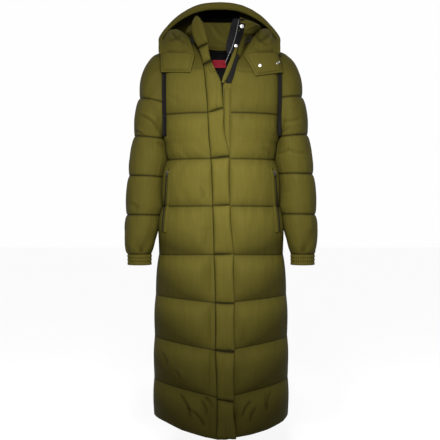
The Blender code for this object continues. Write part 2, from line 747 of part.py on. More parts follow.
def collar_grids(front: tuple[np.ndarray, np.ndarray],
                 back: tuple[np.ndarray, np.ndarray]) -> tuple[np.ndarray, np.ndarray]:
    """Inner and outer grids of the stand collar, from the right front end round to the left.

    Args:
        front: inner and outer grids of the left front.
        back: inner and outer grids of the left half of the back.

    Returns:
        The inner and outer grids, a column for each point of the neckline.
    """
    half = [(front, place) for place in FRONT_NECK_COLUMNS]
    half += [(back, place) for place in BACK_NECK_COLUMNS]
    feet = [grids[0][-1, place] for grids, place in half]
    line = [foot * np.array([-1.0, 1.0, 1.0]) for foot in feet]
    line += [back[0][-1, 0], *reversed(feet)]
    inner = []
    outer = []
    for edge in line:
        heading = math.atan2(edge[0], -(edge[1] - COLLAR_CENTRE_Y))
        behind = abs(heading) / math.pi
        depth = COLLAR_DEPTH_FRONT if behind < 0.5 else COLLAR_DEPTH_BACK
        top = np.array([COLLAR_HALF_WIDTH * math.sin(heading),
                        COLLAR_CENTRE_Y - depth * math.cos(heading),
                        smooth(COLLAR_FRONT_TOP, COLLAR_BACK_TOP, behind)])
        away = np.array([math.sin(heading), -math.cos(heading), 0.0])
        foot = edge - away * (SEAM_WALL + COLLAR_GAP)
        inner_column = []
        outer_column = []
        for z, puff in zip((foot[2], *COLLAR_LEVELS, top[2]), COLLAR_SWELLS):
            rise = max(0.0, (z - COLLAR_LEAN_Z) / (top[2] - COLLAR_LEAN_Z))
            lean = rise ** COLLAR_LEAN_POWER
            spot = np.array([*(foot[:2] + (top[:2] - foot[:2]) * lean), z])
            inner_column.append(spot)
            outer_column.append(spot + away * (SEAM_WALL + COLLAR_PUFF * puff))
        inner.append(inner_column)
        outer.append(outer_column)
    return (np.array(inner).transpose(1, 0, 2), np.array(outer).transpose(1, 0, 2))


def build_collar(front: tuple[np.ndarray, np.ndarray],
                 back: tuple[np.ndarray, np.ndarray]) -> tuple[np.ndarray, np.ndarray]:
    """Make the collar and return its inner and outer grids."""
    inner, outer = collar_grids(front, back)
    add_wall("collar", "shell_cloth", inner, outer)
    return inner, outer


# ---------------------------------------------------------------------------------------------
# Hood
# ---------------------------------------------------------------------------------------------

HOOD_SHIFT = -0.005     # the hood lies a little to the wearer's right
TAB_CORNER = (0.094, -0.106, 0.012)
HOOD_STEPS = 8          # spans from the rim to the neck
HOOD_CENTRE_Z = 0.05    # the rim's outline turns round this height
HOOD_NECK_GAP = 0.0018  # between the hood's neck edge and the collar
HOOD_END_SWELL = 0.25   # puff at the hood's front corners, and its rise with each station
RIM_SIDES = 6
RIM_THICK = 0.0055      # half the thickness of the rim band
RIM_CLEAR = 0.0063      # from the rim's middle to the panels' edges


class HoodStation(NamedTuple):
    """A line of the hood from its rim, round behind and down towards the neck (left half)."""

    rim: tuple[float, float, float]
    first: tuple[float, float, float]
    second: tuple[float, float, float]
    third: tuple[float, float, float]
    rim_height: float      # long axis of the rim's section
    rim_turn: float        # degrees that this axis leans back from the hood's outline


HOOD = (
    HoodStation((0.000, 0.062, 0.188), (0.000, 0.150, 0.188), (0.000, 0.200, 0.120),
                (0.000, 0.165, 0.045), 0.0120, 12.0),
    HoodStation((0.062, 0.054, 0.180), (0.066, 0.138, 0.178), (0.070, 0.186, 0.112),
                (0.062, 0.152, 0.045), 0.0120, 15.0),
    HoodStation((0.115, 0.032, 0.151), (0.125, 0.108, 0.145), (0.132, 0.150, 0.098),
                (0.105, 0.122, 0.050), 0.0110, 25.0),
    HoodStation((0.154, 0.000, 0.112), (0.166, 0.062, 0.104), (0.168, 0.100, 0.078),
                (0.138, 0.086, 0.056), 0.0100, 40.0),
    HoodStation((0.178, -0.040, 0.070), (0.184, -0.002, 0.076), (0.168, 0.024, 0.080),
                (0.130, 0.022, 0.078), 0.0080, 55.0),
    HoodStation((0.184, -0.068, 0.042), (0.173, -0.060, 0.053), (0.150, -0.058, 0.062),
                (0.120, -0.056, 0.068), 0.0070, 60.0),
    HoodStation((0.184, -0.088, 0.014), (0.160, -0.100, 0.013), (0.136, -0.108, 0.012),
                (0.112, -0.108, 0.014), 0.0060, 65.0),
)


def curve_points(knots: np.ndarray, steps: int) -> np.ndarray:
    """Points evenly spread along a Catmull-Rom curve through the knots."""
    padded = np.concatenate([[2 * knots[0] - knots[1]], knots, [2 * knots[-1] - knots[-2]]])
    spans = len(knots) - 1
    points = []
    for step in range(steps + 1):
        place = spans * step / steps
        span = min(int(place), spans - 1)
        t = place - span
        a, b, c, d = padded[span:span + 4]
        points.append(0.5 * (2 * b + (c - a) * t + (2 * a - 5 * b + 4 * c - d) * t ** 2
                             + (3 * b - a - 3 * c + d) * t ** 3))
    return np.array(points)


def hood_grids(collar_outer: np.ndarray) -> tuple[np.ndarray, np.ndarray, list]:
    """Inner and outer grids of the hood, from its right front corner to its left.

    Args:
        collar_outer: outer grid of the collar, which the hood's neck edge follows.

    Returns:
        Points by station and step, inner and outer, and each station's rim centre and axes.
    """
    columns = collar_outer.shape[1]
    centre = columns // 2
    stations = []
    rims = []
    for side in (-1, 1):
        for index in range(len(HOOD)):
            if side == 1 and index == 0:
                continue
            station = HOOD[len(HOOD) - 1 - index] if side == -1 else HOOD[index]
            number = len(HOOD) - 1 - index if side == -1 else index
            neck = (collar_outer[1, centre + side * number]
                    + collar_outer[2, centre + side * number]) / 2
            away = neck - np.array([0.0, COLLAR_CENTRE_Y, neck[2]])
            flip = np.array([float(side), 1.0, 1.0])
            shift = np.array([HOOD_SHIFT, 0.0, 0.0])
            rim, first, second, third = (np.array(point) * flip + shift for point in
                                         (station.rim, station.first, station.second,
                                          station.third))
            back = unit(first - rim)
            outline = unit(np.array([rim[0] - HOOD_SHIFT, 0.0, rim[2] - HOOD_CENTRE_Z]))
            turn = math.radians(station.rim_turn)
            rims.append((rim, outline * math.cos(turn) + back * math.sin(turn),
                         station.rim_height, back))
            start = rim + back * (RIM_CLEAR + abs(math.sin(turn)) * station.rim_height)
            end = neck + unit(away) * HOOD_NECK_GAP
            if number == len(HOOD) - 1:
                end = np.array(TAB_CORNER) * flip + shift
            stations.append(curve_points(np.array([start, first, second, third, end]), HOOD_STEPS))
    inner = np.array(stations)
    normals = grid_normals(inner, False)
    middle = inner.shape[0] // 2
    if normals[middle, HOOD_STEPS // 2, 1] < 0:
        normals = -normals
    puff = np.array([swell(step / HOOD_STEPS) for step in range(HOOD_STEPS + 1)])
    from_end = [min(index, len(stations) - 1 - index) for index in range(len(stations))]
    ends = np.array([min(1.0, HOOD_END_SWELL * (1 + index)) for index in from_end])
    thickness = SEAM_WALL + HOOD_PUFF * np.outer(ends, puff)
    return inner, inner + normals * thickness[:, :, None], rims


def build_hood(collar_outer: np.ndarray) -> tuple[np.ndarray, np.ndarray]:
    """Make the hood's three panels and its rim, and return the hood's grids."""
    inner, outer, rims = hood_grids(collar_outer)
    middle = inner.shape[0] // 2
    spans = (("hood_side_right", 0, middle - 1), ("hood_centre", middle - 1, middle + 1),
             ("hood_side_left", middle + 1, inner.shape[0] - 1))
    for name, first, last in spans:
        panel_in = inner[first:last + 1].copy()
        panel_out = outer[first:last + 1].copy()
        for grid in (panel_in, panel_out):
            if first > 0:
                grid[0, :, 0] += GAP / 2
            if last < inner.shape[0] - 1:
                grid[-1, :, 0] -= GAP / 2
        add_wall(name, "shell_cloth", panel_in, panel_out)
    rings = []
    centres = curve_points(np.array([rim[0] for rim in rims]), 2 * (len(rims) - 1))
    axes = curve_points(np.array([rim[1] * rim[2] for rim in rims]), 2 * (len(rims) - 1))
    backs = curve_points(np.array([rim[3] for rim in rims]), 2 * (len(rims) - 1))
    for centre, axis, back in zip(centres, axes, backs):
        across = back - unit(axis) * np.dot(back, unit(axis))
        ring = [centre + axis * math.cos(2 * math.pi * side / RIM_SIDES)
                + unit(across) * RIM_THICK * math.sin(2 * math.pi * side / RIM_SIDES)
                for side in range(RIM_SIDES)]
        rings.append(ring)
    add_tube("hood_rim", "shell_cloth", np.array(rings))
    return inner, outer


def add_tube(name: str, finish: str, rings: np.ndarray) -> bpy.types.Object:
    """Make a solid tube through rings of points, closed by a flat cap at each end."""
    count, sides = rings.shape[:2]
    faces = []
    for ring in range(count - 1):
        for side in range(sides):
            after = (side + 1) % sides
            faces.append((ring * sides + side, ring * sides + after,
                          (ring + 1) * sides + after, (ring + 1) * sides + side))
    faces.append(tuple(range(sides)))
    faces.append(tuple((count - 1) * sides + side for side in range(sides)))
    mesh = bpy.data.meshes.new(name)
    mesh.from_pydata(rings.reshape(-1, 3).tolist(), [], faces)
    return finish_mesh(name, finish, mesh)


# ---------------------------------------------------------------------------------------------
# Hood tabs
# ---------------------------------------------------------------------------------------------

TAB_WALL = 0.0040
TAB_ROWS = (0.0, 0.33, 0.67, 1.0)
TAB_BOW = 0.004         # how far a tab bows forward between its top and foot


class TabFoot(NamedTuple):
    """Lower corners of a hood tab: the one at the shoulder and the one at the neck."""

    side: int
    shoulder: tuple[float, float, float]
    neck: tuple[float, float, float]


TABS = {
    "hood_tab_right": TabFoot(-1, (0.180, -0.101, -0.046), (0.092, -0.1260, -0.050)),
    "hood_tab_left": TabFoot(1, (0.186, -0.099, -0.046), (0.104, -0.1270, -0.061)),
}


def build_tabs(inner: np.ndarray, outer: np.ndarray) -> np.ndarray:
    """Make the tabs below the hood's front corners.

    Args:
        inner: inner grid of the hood, by station and step; its lining side shows in front.
        outer: outer grid of the hood.

    Returns:
        The showing side of the left tab, by row and step.
    """
    shown = None
    for name, foot in TABS.items():
        end = 0 if foot.side < 0 else -1
        flip = np.array([float(foot.side), 1.0, 1.0])
        shares = np.linspace(0.0, 1.0, HOOD_STEPS + 1)[:, None]
        low = (np.array(foot.shoulder) * (1 - shares) + np.array(foot.neck) * shares) * flip
        drop = np.array([0.0, 0.0, -2 * GAP])
        front = []
        behind = []
        for place in TAB_ROWS:
            bow = np.array([0.0, -TAB_BOW * math.sin(math.pi * place), 0.0])
            front.append((inner[end] + drop) * (1 - place) + low * place + bow)
            low_behind = low + np.array([0.0, TAB_WALL, 0.0])
            behind.append((outer[end] + drop) * (1 - place) + low_behind * place + bow)
        front = np.array(front)
        add_wall(name, "shell_cloth", front, np.array(behind))
        shown = front if foot.side > 0 else shown
    return shown


# ---------------------------------------------------------------------------------------------
# Open end of the collar, zips and hardware
# ---------------------------------------------------------------------------------------------

class FacingRow(NamedTuple):
    """The black facing on the collar's left end: its inward edge, middle and outward edge."""

    z: float
    inward: tuple[float, float]
    middle: tuple[float, float]
    outward: tuple[float, float]


FACING = (
    FacingRow(0.1120, (0.0370, -0.1085), (0.0560, -0.1095), (0.0755, -0.0965)),
    FacingRow(0.0950, (0.0305, -0.1120), (0.0525, -0.1115), (0.0725, -0.1000)),
    FacingRow(0.0600, (0.0220, -0.1070), (0.0440, -0.1050), (0.0625, -0.0950)),
    FacingRow(0.0300, (0.0150, -0.1075), (0.0345, -0.1060), (0.0520, -0.1010)),
    FacingRow(0.0060, (0.0185, -0.1095), (0.0310, -0.1080), (0.0455, -0.1035)),
)


class GuardPoint(NamedTuple):
    """A point on the wind guard's piped edge."""

    x: float
    y: float
    z: float


GUARD = (
    GuardPoint(0.0465, -0.1100, 0.0240),
    GuardPoint(0.0345, -0.1140, -0.0060),
    GuardPoint(0.0210, -0.1165, -0.0400),
    GuardPoint(0.0100, -0.1222, -0.0680),
    GuardPoint(0.0045, -0.1252, -0.0830),
)
GUARD_RADIUS = 0.0024
OPEN_TAPE_X = (0.0021, 0.0070)      # edges of the open zip's tape, outward from the guard
OPEN_TAPE_RISE = 0.002


def build_open_end() -> None:
    """Make the facing, the wind guard's edge and the zip tape of the open left end."""
    rows = [[(x, y, row.z) for x, y in (row.inward, row.middle, row.outward)] for row in FACING]
    add_strip("collar_facing_left", "lining_cloth", np.array(rows), 0.0, TAPE)
    curve = bpy.data.curves.new("wind_guard", "CURVE")
    curve.dimensions = "3D"
    curve.bevel_depth = GUARD_RADIUS
    curve.bevel_resolution = 2
    curve.use_fill_caps = True
    line = curve.splines.new("POLY")
    line.points.add(len(GUARD) - 1)
    for spot, point in zip(line.points, GUARD):
        spot.co = (*point, 1.0)
    guard = bpy.data.objects.new("wind_guard", curve)
    curve.materials.append(finishes()["shell_cloth"])
    coat_collection().objects.link(guard)
    tape = []
    for point in GUARD:
        behind = point.y + GUARD_RADIUS + 2 * GAP
        tape.append([(point.x + width, behind, point.z + OPEN_TAPE_RISE)
                     for width in OPEN_TAPE_X])
    add_strip("open_zip_tape_left", "zip_tape", np.array(tape), GAP, TAPE, (0.0, 1.0, 0.0))


def stand_on(part: bpy.types.Object, origin: np.ndarray, axes: np.ndarray) -> bpy.types.Object:
    """Put a piece's origin at a place, turned to three axes."""
    turn = Matrix([list(line) for line in np.array(axes).T])
    part.matrix_world = Matrix.Translation(Vector(origin)) @ turn.to_4x4()
    return part


def add_block(name: str, finish: str, size: tuple[float, float, float], origin: np.ndarray,
              axes: np.ndarray, offset: tuple[float, float, float] = (0.0, 0.0, 0.0),
              bevel: float = 0.0005) -> bpy.types.Object:
    """Make a block with softened edges.

    Args:
        size: width, depth and height along the block's own axes.
        origin: where its origin stands, which is on the joint's axis of a moving block.
        axes: three rows, the directions of its own X, Y and Z.
        offset: from the origin to the block's middle, along its own axes.
    """
    work = bmesh.new()
    shape = Matrix.Translation(Vector(offset)) @ Matrix.Diagonal(Vector((*size, 1.0)))
    bmesh.ops.create_cube(work, size=1.0, matrix=shape)
    bmesh.ops.bevel(work, geom=work.edges[:], offset=bevel, segments=1, affect="EDGES")
    mesh = bpy.data.meshes.new(name)
    work.to_mesh(mesh)
    work.free()
    return stand_on(finish_mesh(name, finish, mesh), origin, axes)


def add_stud(name: str, radius: float, height: float, origin: np.ndarray,
             axes: np.ndarray) -> bpy.types.Object:
    """Make a press stud: a low round button, standing along -Y of its axes."""
    work = bmesh.new()
    stand = Matrix.Rotation(math.radians(90), 4, "X")
    bmesh.ops.create_cone(work, cap_ends=True, segments=16, radius1=radius,
                          radius2=radius * 0.7, depth=height, matrix=stand)
    mesh = bpy.data.meshes.new(name)
    work.to_mesh(mesh)
    work.free()
    return stand_on(finish_mesh(name, "snap_metal", mesh), origin, axes)


def surface_axes(along: np.ndarray, outward: np.ndarray) -> np.ndarray:
    """Axes of a piece on a surface: across it, into it and up along it."""
    up = unit(along)
    into = unit(-(outward - up * np.dot(outward, up)))
    return np.array([unit(np.cross(into, up)), into, up])


SNAP_RADIUS = 0.0050
SNAP_HEIGHT = 0.0024
STUD_GAP = 0.0010
EYELET_SIZE = (0.0150, 0.0016, 0.0046)
EYELET_TILT = 25.0
TAB_FIXINGS = (("hood_snap", 0.62, 6.1), ("hood_eyelet", 0.55, 1.0))   # place down the tab, step
STUD_UP = (0.15, 0.0, 1.0)          # the collar studs' own up and outward directions
STUD_OUT = (0.25, -1.0, 0.0)
STUD_SHARE = 0.55                   # place between the facing's middle and its outward edge
STUD_SEAT = 0.0036                  # from the facing's line to a stud's underside
GUARD_SNAP_HEIGHTS = {"guard_snap_upper": (0.0900, 0.0062), "guard_snap_lower": (0.0310, 0.0055)}


def build_snaps(tab: np.ndarray) -> None:
    """Make the studs and the eyelet bar on the left tab and the left collar end."""
    for name, place, step in TAB_FIXINGS:
        row = place * (len(TAB_ROWS) - 1)
        low, column_low = int(row), int(step)
        part_row, part_step = row - low, step - column_low
        corners = tab[low:low + 2, column_low:column_low + 2]
        spot = (corners[0, 0] * (1 - part_row) * (1 - part_step)
                + corners[1, 0] * part_row * (1 - part_step)
                + corners[0, 1] * (1 - part_row) * part_step
                + corners[1, 1] * part_row * part_step)
        up = corners[0, 0] - corners[1, 0]
        outward = np.cross(corners[0, 0] - corners[0, 1], up)
        outward = outward if outward[1] < 0 else -outward
        axes = surface_axes(up, unit(outward))
        if name == "hood_snap":
            origin = spot - axes[1] * (SNAP_HEIGHT / 2 + STUD_GAP)
            add_stud(name, SNAP_RADIUS, SNAP_HEIGHT, origin, axes)
        else:
            tilt = math.radians(EYELET_TILT)
            tilted = np.array([axes[0] * math.cos(tilt) + axes[2] * math.sin(tilt), axes[1],
                               axes[2] * math.cos(tilt) - axes[0] * math.sin(tilt)])
            origin = spot - axes[1] * (EYELET_SIZE[1] / 2 + 3 * GAP)
            add_block(name, "snap_metal", EYELET_SIZE, origin, tilted)
    heights = [row.z for row in reversed(FACING)]
    for name, (z, radius) in GUARD_SNAP_HEIGHTS.items():
        line = [np.array(row.middle) * (1 - STUD_SHARE) + np.array(row.outward) * STUD_SHARE
                for row in reversed(FACING)]
        x, y = (np.interp(z, heights, [spot[axis] for spot in line]) for axis in (0, 1))
        axes = surface_axes(np.array(STUD_UP), unit(np.array(STUD_OUT)))
        origin = np.array([x, y, z]) - axes[1] * (SNAP_HEIGHT / 2 + STUD_SEAT)
        add_stud(name, radius, SNAP_HEIGHT, origin, axes)


ZIP_SLIDER = (0.0076, 0.0028, 0.0110)
ZIP_PULL = (0.0048, 0.0010, 0.0200)
ZIP_Z = -0.100
POCKET_TOP = -0.351
POCKET_FOOT = -0.530
POCKET_SHARE = 0.72         # share of the front's width along which the welts' rows are counted
WELT_X = ((0.1500, 0.1610), (0.1630, 0.1740))      # edges at the top and at the foot
COIL_X = ((0.1640, 0.1672), (0.1770, 0.1802))
POCKET_SLIDER = (0.0070, 0.0026, 0.0080)
POCKET_PULL = (0.0044, 0.0010, 0.0150)
POCKET_SLIDER_X = 0.1600
POCKET_SLIDER_ROW = 0.06    # how many of the front's rows it stands above the welt
POCKET_WELT_WALL = 0.0022
POCKET_ZIP_WALL = 0.0016
SLOPE_STEP = 0.006          # distance across the front over which its slope is read
SLOPE_ROWS = 0.4            # rows of the front over which its slope is read
PULL_SEAT = 0.2             # height of a tab's pivot over its slider's middle, in slider lengths
PULL_GAP = 0.0012           # between a slider and the tab that hangs from it


def add_zip_head(name: str, slider: tuple[float, float, float],
                 pull: tuple[float, float, float], origin: np.ndarray, axes: np.ndarray) -> None:
    """Make a slider that stands on its tape at the origin, and the pull tab that hangs from it."""
    into = axes[1]
    body = origin - into * (slider[1] / 2 + GAP)
    add_block(f"{name[0]}_slider{name[1]}", "dark_metal", slider, body, axes)
    pivot = origin - into * (slider[1] + PULL_GAP + pull[1] / 2)
    pivot = pivot + axes[2] * slider[2] * PULL_SEAT
    hang = surface_axes(np.array([0.0, 0.0, 1.0]), -into)
    add_block(f"{name[0]}_pull{name[1]}", "dark_metal", pull, pivot, hang,
              (0.0, 0.0, -pull[2] / 2), 0.0003)


def build_zips(outer: np.ndarray) -> None:
    """Make the front zip's slider and the two zipped hand pockets."""
    row = row_of(outer, 0.0, ZIP_Z)
    edge = front_spot(outer, row, 0.0)
    below = front_spot(outer, row - 0.5, 0.0)
    axes = surface_axes(np.array([0.0, edge[1] - below[1], edge[2] - below[2]]),
                        np.array([0.0, -1.0, 0.0]))
    tape_front = np.array([0.0, edge[1] + ZIP_TAPE_DEPTH - GAP - TAPE, ZIP_Z])
    add_zip_head(("zip", ""), ZIP_SLIDER, ZIP_PULL, tape_front, axes)
    rows = rows_between(outer, POCKET_SHARE, POCKET_FOOT, POCKET_TOP)
    strips = {}
    for name, edges in (("pocket_welt", WELT_X), ("pocket_zip", COIL_X)):
        strip = []
        for row in rows:
            share = (row - rows[0]) / (rows[-1] - rows[0])
            line = []
            for top_x, foot_x in zip(edges[0], edges[1]):
                x = foot_x + (top_x - foot_x) * share
                spot = front_spot(outer, row, share_of(outer, row, x))
                line.append(spot)
            strip.append(line)
        strips[name] = np.array(strip)
    for side, turn in (("left", lambda grid: grid), ("right", mirrored)):
        add_strip(f"pocket_welt_{side}", "shell_cloth", turn(strips["pocket_welt"]),
                  LAID_GAP, POCKET_WELT_WALL)
        add_strip(f"pocket_zip_{side}", "zip_tape", turn(strips["pocket_zip"]), LAID_GAP,
                  POCKET_ZIP_WALL)
        sign = 1.0 if side == "left" else -1.0
        row = rows[-1] + POCKET_SLIDER_ROW
        low_row = rows[-1] - SLOPE_ROWS
        spot = front_spot(outer, row, share_of(outer, row, POCKET_SLIDER_X))
        beside = front_spot(outer, row, share_of(outer, row, POCKET_SLIDER_X - SLOPE_STEP))
        below = front_spot(outer, low_row, share_of(outer, low_row, POCKET_SLIDER_X))
        flip = np.array([sign, 1.0, 1.0])
        up = (spot - below) * flip
        across = (spot - beside) * flip
        outward = np.cross(across, up)
        outward = outward if outward[1] < 0 else -outward
        axes = surface_axes(up, unit(outward))
        add_zip_head(("pocket", f"_{side}"), POCKET_SLIDER, POCKET_PULL,
                     spot * flip - axes[1] * LAID_GAP, axes)


# ---------------------------------------------------------------------------------------------
# Inside of the back neck
# ---------------------------------------------------------------------------------------------

FACING_COLUMNS = 4
LABEL_ROWS = (0.0180, -0.0040)
LABEL_X = (-0.0270, 0.0160)
LABEL_WALL = 0.0010


def build_back_neck(back_inner: np.ndarray) -> None:
    """Make the black facing inside the back neck and the label on it."""
    dome = len(DOME_ROWS)
    half = back_inner[-dome - 1:-1, :FACING_COLUMNS + 1]
    full = np.concatenate([mirrored(half)[:, :0:-1], half], axis=1)
    facing_in, facing_out = lifted_wall(full, np.full(full.shape[:2], 2 * GAP),
                                        np.full(full.shape[:2], TAPE), (0.0, -1.0, 0.0))
    add_wall("back_neck_facing", "lining_cloth", facing_in, facing_out)
    centre = facing_out.shape[1] // 2
    label = []
    for z in LABEL_ROWS:
        line = []
        for x in np.linspace(LABEL_X[0], LABEL_X[1], 3):
            heights = [np.interp(x, row[:, 0], row[:, 2]) for row in facing_out]
            depths = [np.interp(x, row[:, 0], row[:, 1]) for row in facing_out]
            line.append((x, np.interp(z, heights, depths), z))
        label.append(line)
    add_strip("neck_label", "label_cloth", np.array(label), WELT_GAP, LABEL_WALL)


def main() -> None:
    """Build the coat."""
    for thing in list(bpy.data.objects):
        bpy.data.objects.remove(thing, do_unlink=True)
    front, back = build_body()
    build_sleeves()
    build_placket(front[1])
    build_armhole_tapes(front[1])
    _, collar_outer = build_collar(front, back)
    hood_inner, hood_outer = build_hood(collar_outer)
    tab = build_tabs(hood_inner, hood_outer)
    build_open_end()
    build_snaps(tab)
    build_zips(front[1])
    build_back_neck(back[0])


if __name__ == "__main__":
    main()
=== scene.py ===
"""Looks of a long hooded puffer coat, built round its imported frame.

Metres, +Z up. The front faces -Y and the wearer's left is +X. The origin lies on the wearer's
shoulder line. Each padded panel is a shell with a smooth inner side and an outer side that swells
between its quilting seams, puckers along them and creases where the cloth is pushed together.
"""

import logging
import math
from dataclasses import dataclass, field
from enum import Enum
from typing import Callable, ClassVar, Optional, Sequence, Union

import bmesh
import bpy
import numpy as np
from mathutils import Matrix, Vector


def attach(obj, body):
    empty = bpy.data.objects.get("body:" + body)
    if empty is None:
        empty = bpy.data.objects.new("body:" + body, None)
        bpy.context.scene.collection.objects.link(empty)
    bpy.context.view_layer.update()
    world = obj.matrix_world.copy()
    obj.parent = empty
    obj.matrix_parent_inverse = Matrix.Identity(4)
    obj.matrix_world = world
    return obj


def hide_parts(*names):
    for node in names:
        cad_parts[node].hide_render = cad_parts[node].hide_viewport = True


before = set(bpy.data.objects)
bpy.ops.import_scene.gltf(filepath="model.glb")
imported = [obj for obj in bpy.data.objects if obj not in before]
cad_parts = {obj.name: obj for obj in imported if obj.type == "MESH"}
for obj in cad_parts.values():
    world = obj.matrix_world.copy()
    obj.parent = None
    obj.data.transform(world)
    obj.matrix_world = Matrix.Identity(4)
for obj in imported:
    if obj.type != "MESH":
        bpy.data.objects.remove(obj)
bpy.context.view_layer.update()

LOG = logging.getLogger("coat")
BODY = "coat"
GAP = 0.0003            # between two pieces at a seam
INNER_SHADE = 0.34              # how deep in shade the inner sides of open pieces lie
SEED = 7

Array = np.ndarray
Point = tuple[float, float, float]
Pair = tuple[float, float]
Floats = tuple[float, ...]
Mesh = bpy.types.Mesh
Material = bpy.types.Material

AHEAD = np.array([0.0, -1.0, 0.0])      # the way the coat faces
FLIPS = {"left": np.ones(3), "right": np.array([-1.0, 1.0, 1.0])}


# ---- Numbers ----

def unit(vectors: Array) -> Array:
    """Scale vectors to length one."""
    lengths = np.linalg.norm(vectors, axis=-1, keepdims=True)
    return vectors / np.maximum(lengths, 1e-12)


def even(count: int) -> Array:
    """Even steps from 0 to 1."""
    return np.linspace(0.0, 1.0, count)


def column(rows: Sequence, name: str) -> list[float]:
    """One field of each row of a table."""
    return [getattr(row, name) for row in rows]


def ease(low: float, high: float, value: Union[float, Array]) -> Array:
    """Smooth step from 0 at low to 1 at high."""
    share = np.clip((value - low) / (high - low), 0.0, 1.0)
    return share * share * (3 - 2 * share)


def read_smooth(places: Sequence[float], values: Sequence[float], at: Array) -> Array:
    """Read a table by a smooth curve that never overshoots its rows.

    Args:
        places: rising places of the rows.
        values: the rows' values.
        at: where to read.

    Returns:
        The values there, held at the table's ends.
    """
    x = np.asarray(places, float)
    y = np.asarray(values, float)
    steps = np.diff(x)
    slopes = np.diff(y) / steps
    bends = np.zeros_like(y)
    same = slopes[1:] * slopes[:-1] > 0
    w1 = 2 * steps[1:] + steps[:-1]
    w2 = steps[1:] + 2 * steps[:-1]
    safe_low = np.where(same, slopes[:-1], 1.0)
    safe_high = np.where(same, slopes[1:], 1.0)
    bends[1:-1] = np.where(same, (w1 + w2) / (w1 / safe_low + w2 / safe_high), 0.0)
    bends[0] = slopes[0]
    bends[-1] = slopes[-1]
    at = np.clip(np.asarray(at, float), x[0], x[-1])
    span = np.clip(np.searchsorted(x, at, side="right") - 1, 0, len(steps) - 1)
    t = (at - x[span]) / steps[span]
    left = y[span] * (1 + 2 * t) * (1 - t) ** 2 + bends[span] * steps[span] * t * (1 - t) ** 2
    right = y[span + 1] * t ** 2 * (3 - 2 * t) - bends[span + 1] * steps[span] * t ** 2 * (1 - t)
    return left + right


def through(knots: Array, places: Array) -> Array:
    """Points of a Catmull-Rom curve through evenly counted knots.

    Args:
        knots: the curve's knots, one a row.
        places: where to read, 0 at the first knot and 1 at the last.

    Returns:
        A point for each place.
    """
    padded = np.concatenate([[2 * knots[0] - knots[1]], knots, [2 * knots[-1] - knots[-2]]])
    spans = len(knots) - 1
    along = np.clip(places, 0.0, 1.0) * spans
    span = np.minimum(along.astype(int), spans - 1)
    t = (along - span).reshape((-1,) + (1,) * (knots.ndim - 1))
    a, b, c, d = (padded[span + step] for step in range(4))
    return 0.5 * (2 * b + (c - a) * t + (2 * a - 5 * b + 4 * c - d) * t ** 2
        + (3 * b - a - 3 * c + d) * t ** 3)


def cloudy(u: Array, v: Array, seed: int) -> Array:
    """Smooth random heights between -1 and 1 over a plane, one hill or dip a unit."""
    table = np.random.default_rng(seed).uniform(-1.0, 1.0, (64, 64))
    low_u = np.floor(u).astype(int)
    low_v = np.floor(v).astype(int)
    fu = u - low_u
    fv = v - low_v
    fu = fu * fu * (3 - 2 * fu)
    fv = fv * fv * (3 - 2 * fv)
    total = 0.0
    for du in (0, 1):
        for dv in (0, 1):
            weight = (fu if du else 1 - fu) * (fv if dv else 1 - fv)
            total = total + weight * table[(low_u + du) % 64, (low_v + dv) % 64]
    return total


def lengths_along(grid: Array, axis: int) -> Array:
    """Distance travelled over a grid of points along one of its axes."""
    steps = np.linalg.norm(np.diff(grid, axis=axis), axis=-1)
    start = np.zeros_like(np.take(steps, [0], axis=axis))
    return np.concatenate([start, np.cumsum(steps, axis=axis)], axis=axis)


def spans(grid: Array) -> tuple[Array, Array]:
    """Distance travelled along a grid's rows, and up its columns."""
    return lengths_along(grid, 1), lengths_along(grid, 0)


def grid_normals(grid: Array, is_closed: bool, toward: Array) -> Array:
    """Unit normals of a grid of points.

    Args:
        grid: points by row and column.
        is_closed: its columns run round a tube.
        toward: the direction that the normals should mostly take, for each point or for all.

    Returns:
        A normal for each point.
    """
    if is_closed:
        across = np.roll(grid, -1, axis=1) - np.roll(grid, 1, axis=1)
    else:
        across = np.gradient(grid, axis=1)
    normals = unit(np.cross(across, np.gradient(grid, axis=0)))
    return normals if np.sum(normals * toward) >= 0 else -normals


# ---- Shader building ----

class Value:
    """A socket of a shader, with arithmetic."""

    def __init__(self, graph: "Graph", socket: bpy.types.NodeSocket) -> None:
        """Keep the socket and the graph that it belongs to."""
        self.graph = graph
        self.socket = socket

    def _maths(self, operation: str, first: "Term", second: "Term") -> "Value":
        """Add a Math node."""
        return self.graph.node("ShaderNodeMath", {"operation": operation}, {0: first, 1: second})

    def __add__(self, other: "Term") -> "Value":
        """Sum."""
        return self._maths("ADD", self, other)

    __radd__ = __add__

    def __sub__(self, other: "Term") -> "Value":
        """Difference."""
        return self._maths("SUBTRACT", self, other)

    def __rsub__(self, other: "Term") -> "Value":
        """Reflected difference."""
        return self._maths("SUBTRACT", other, self)

    def __mul__(self, other: "Term") -> "Value":
        """Product."""
        return self._maths("MULTIPLY", self, other)

    __rmul__ = __mul__

    def __truediv__(self, other: "Term") -> "Value":
        """Quotient."""
        return self._maths("DIVIDE", self, other)

    def __pow__(self, other: "Term") -> "Value":
        """Power."""
        return self._maths("POWER", self, other)


Term = Union[Value, float, int, tuple]


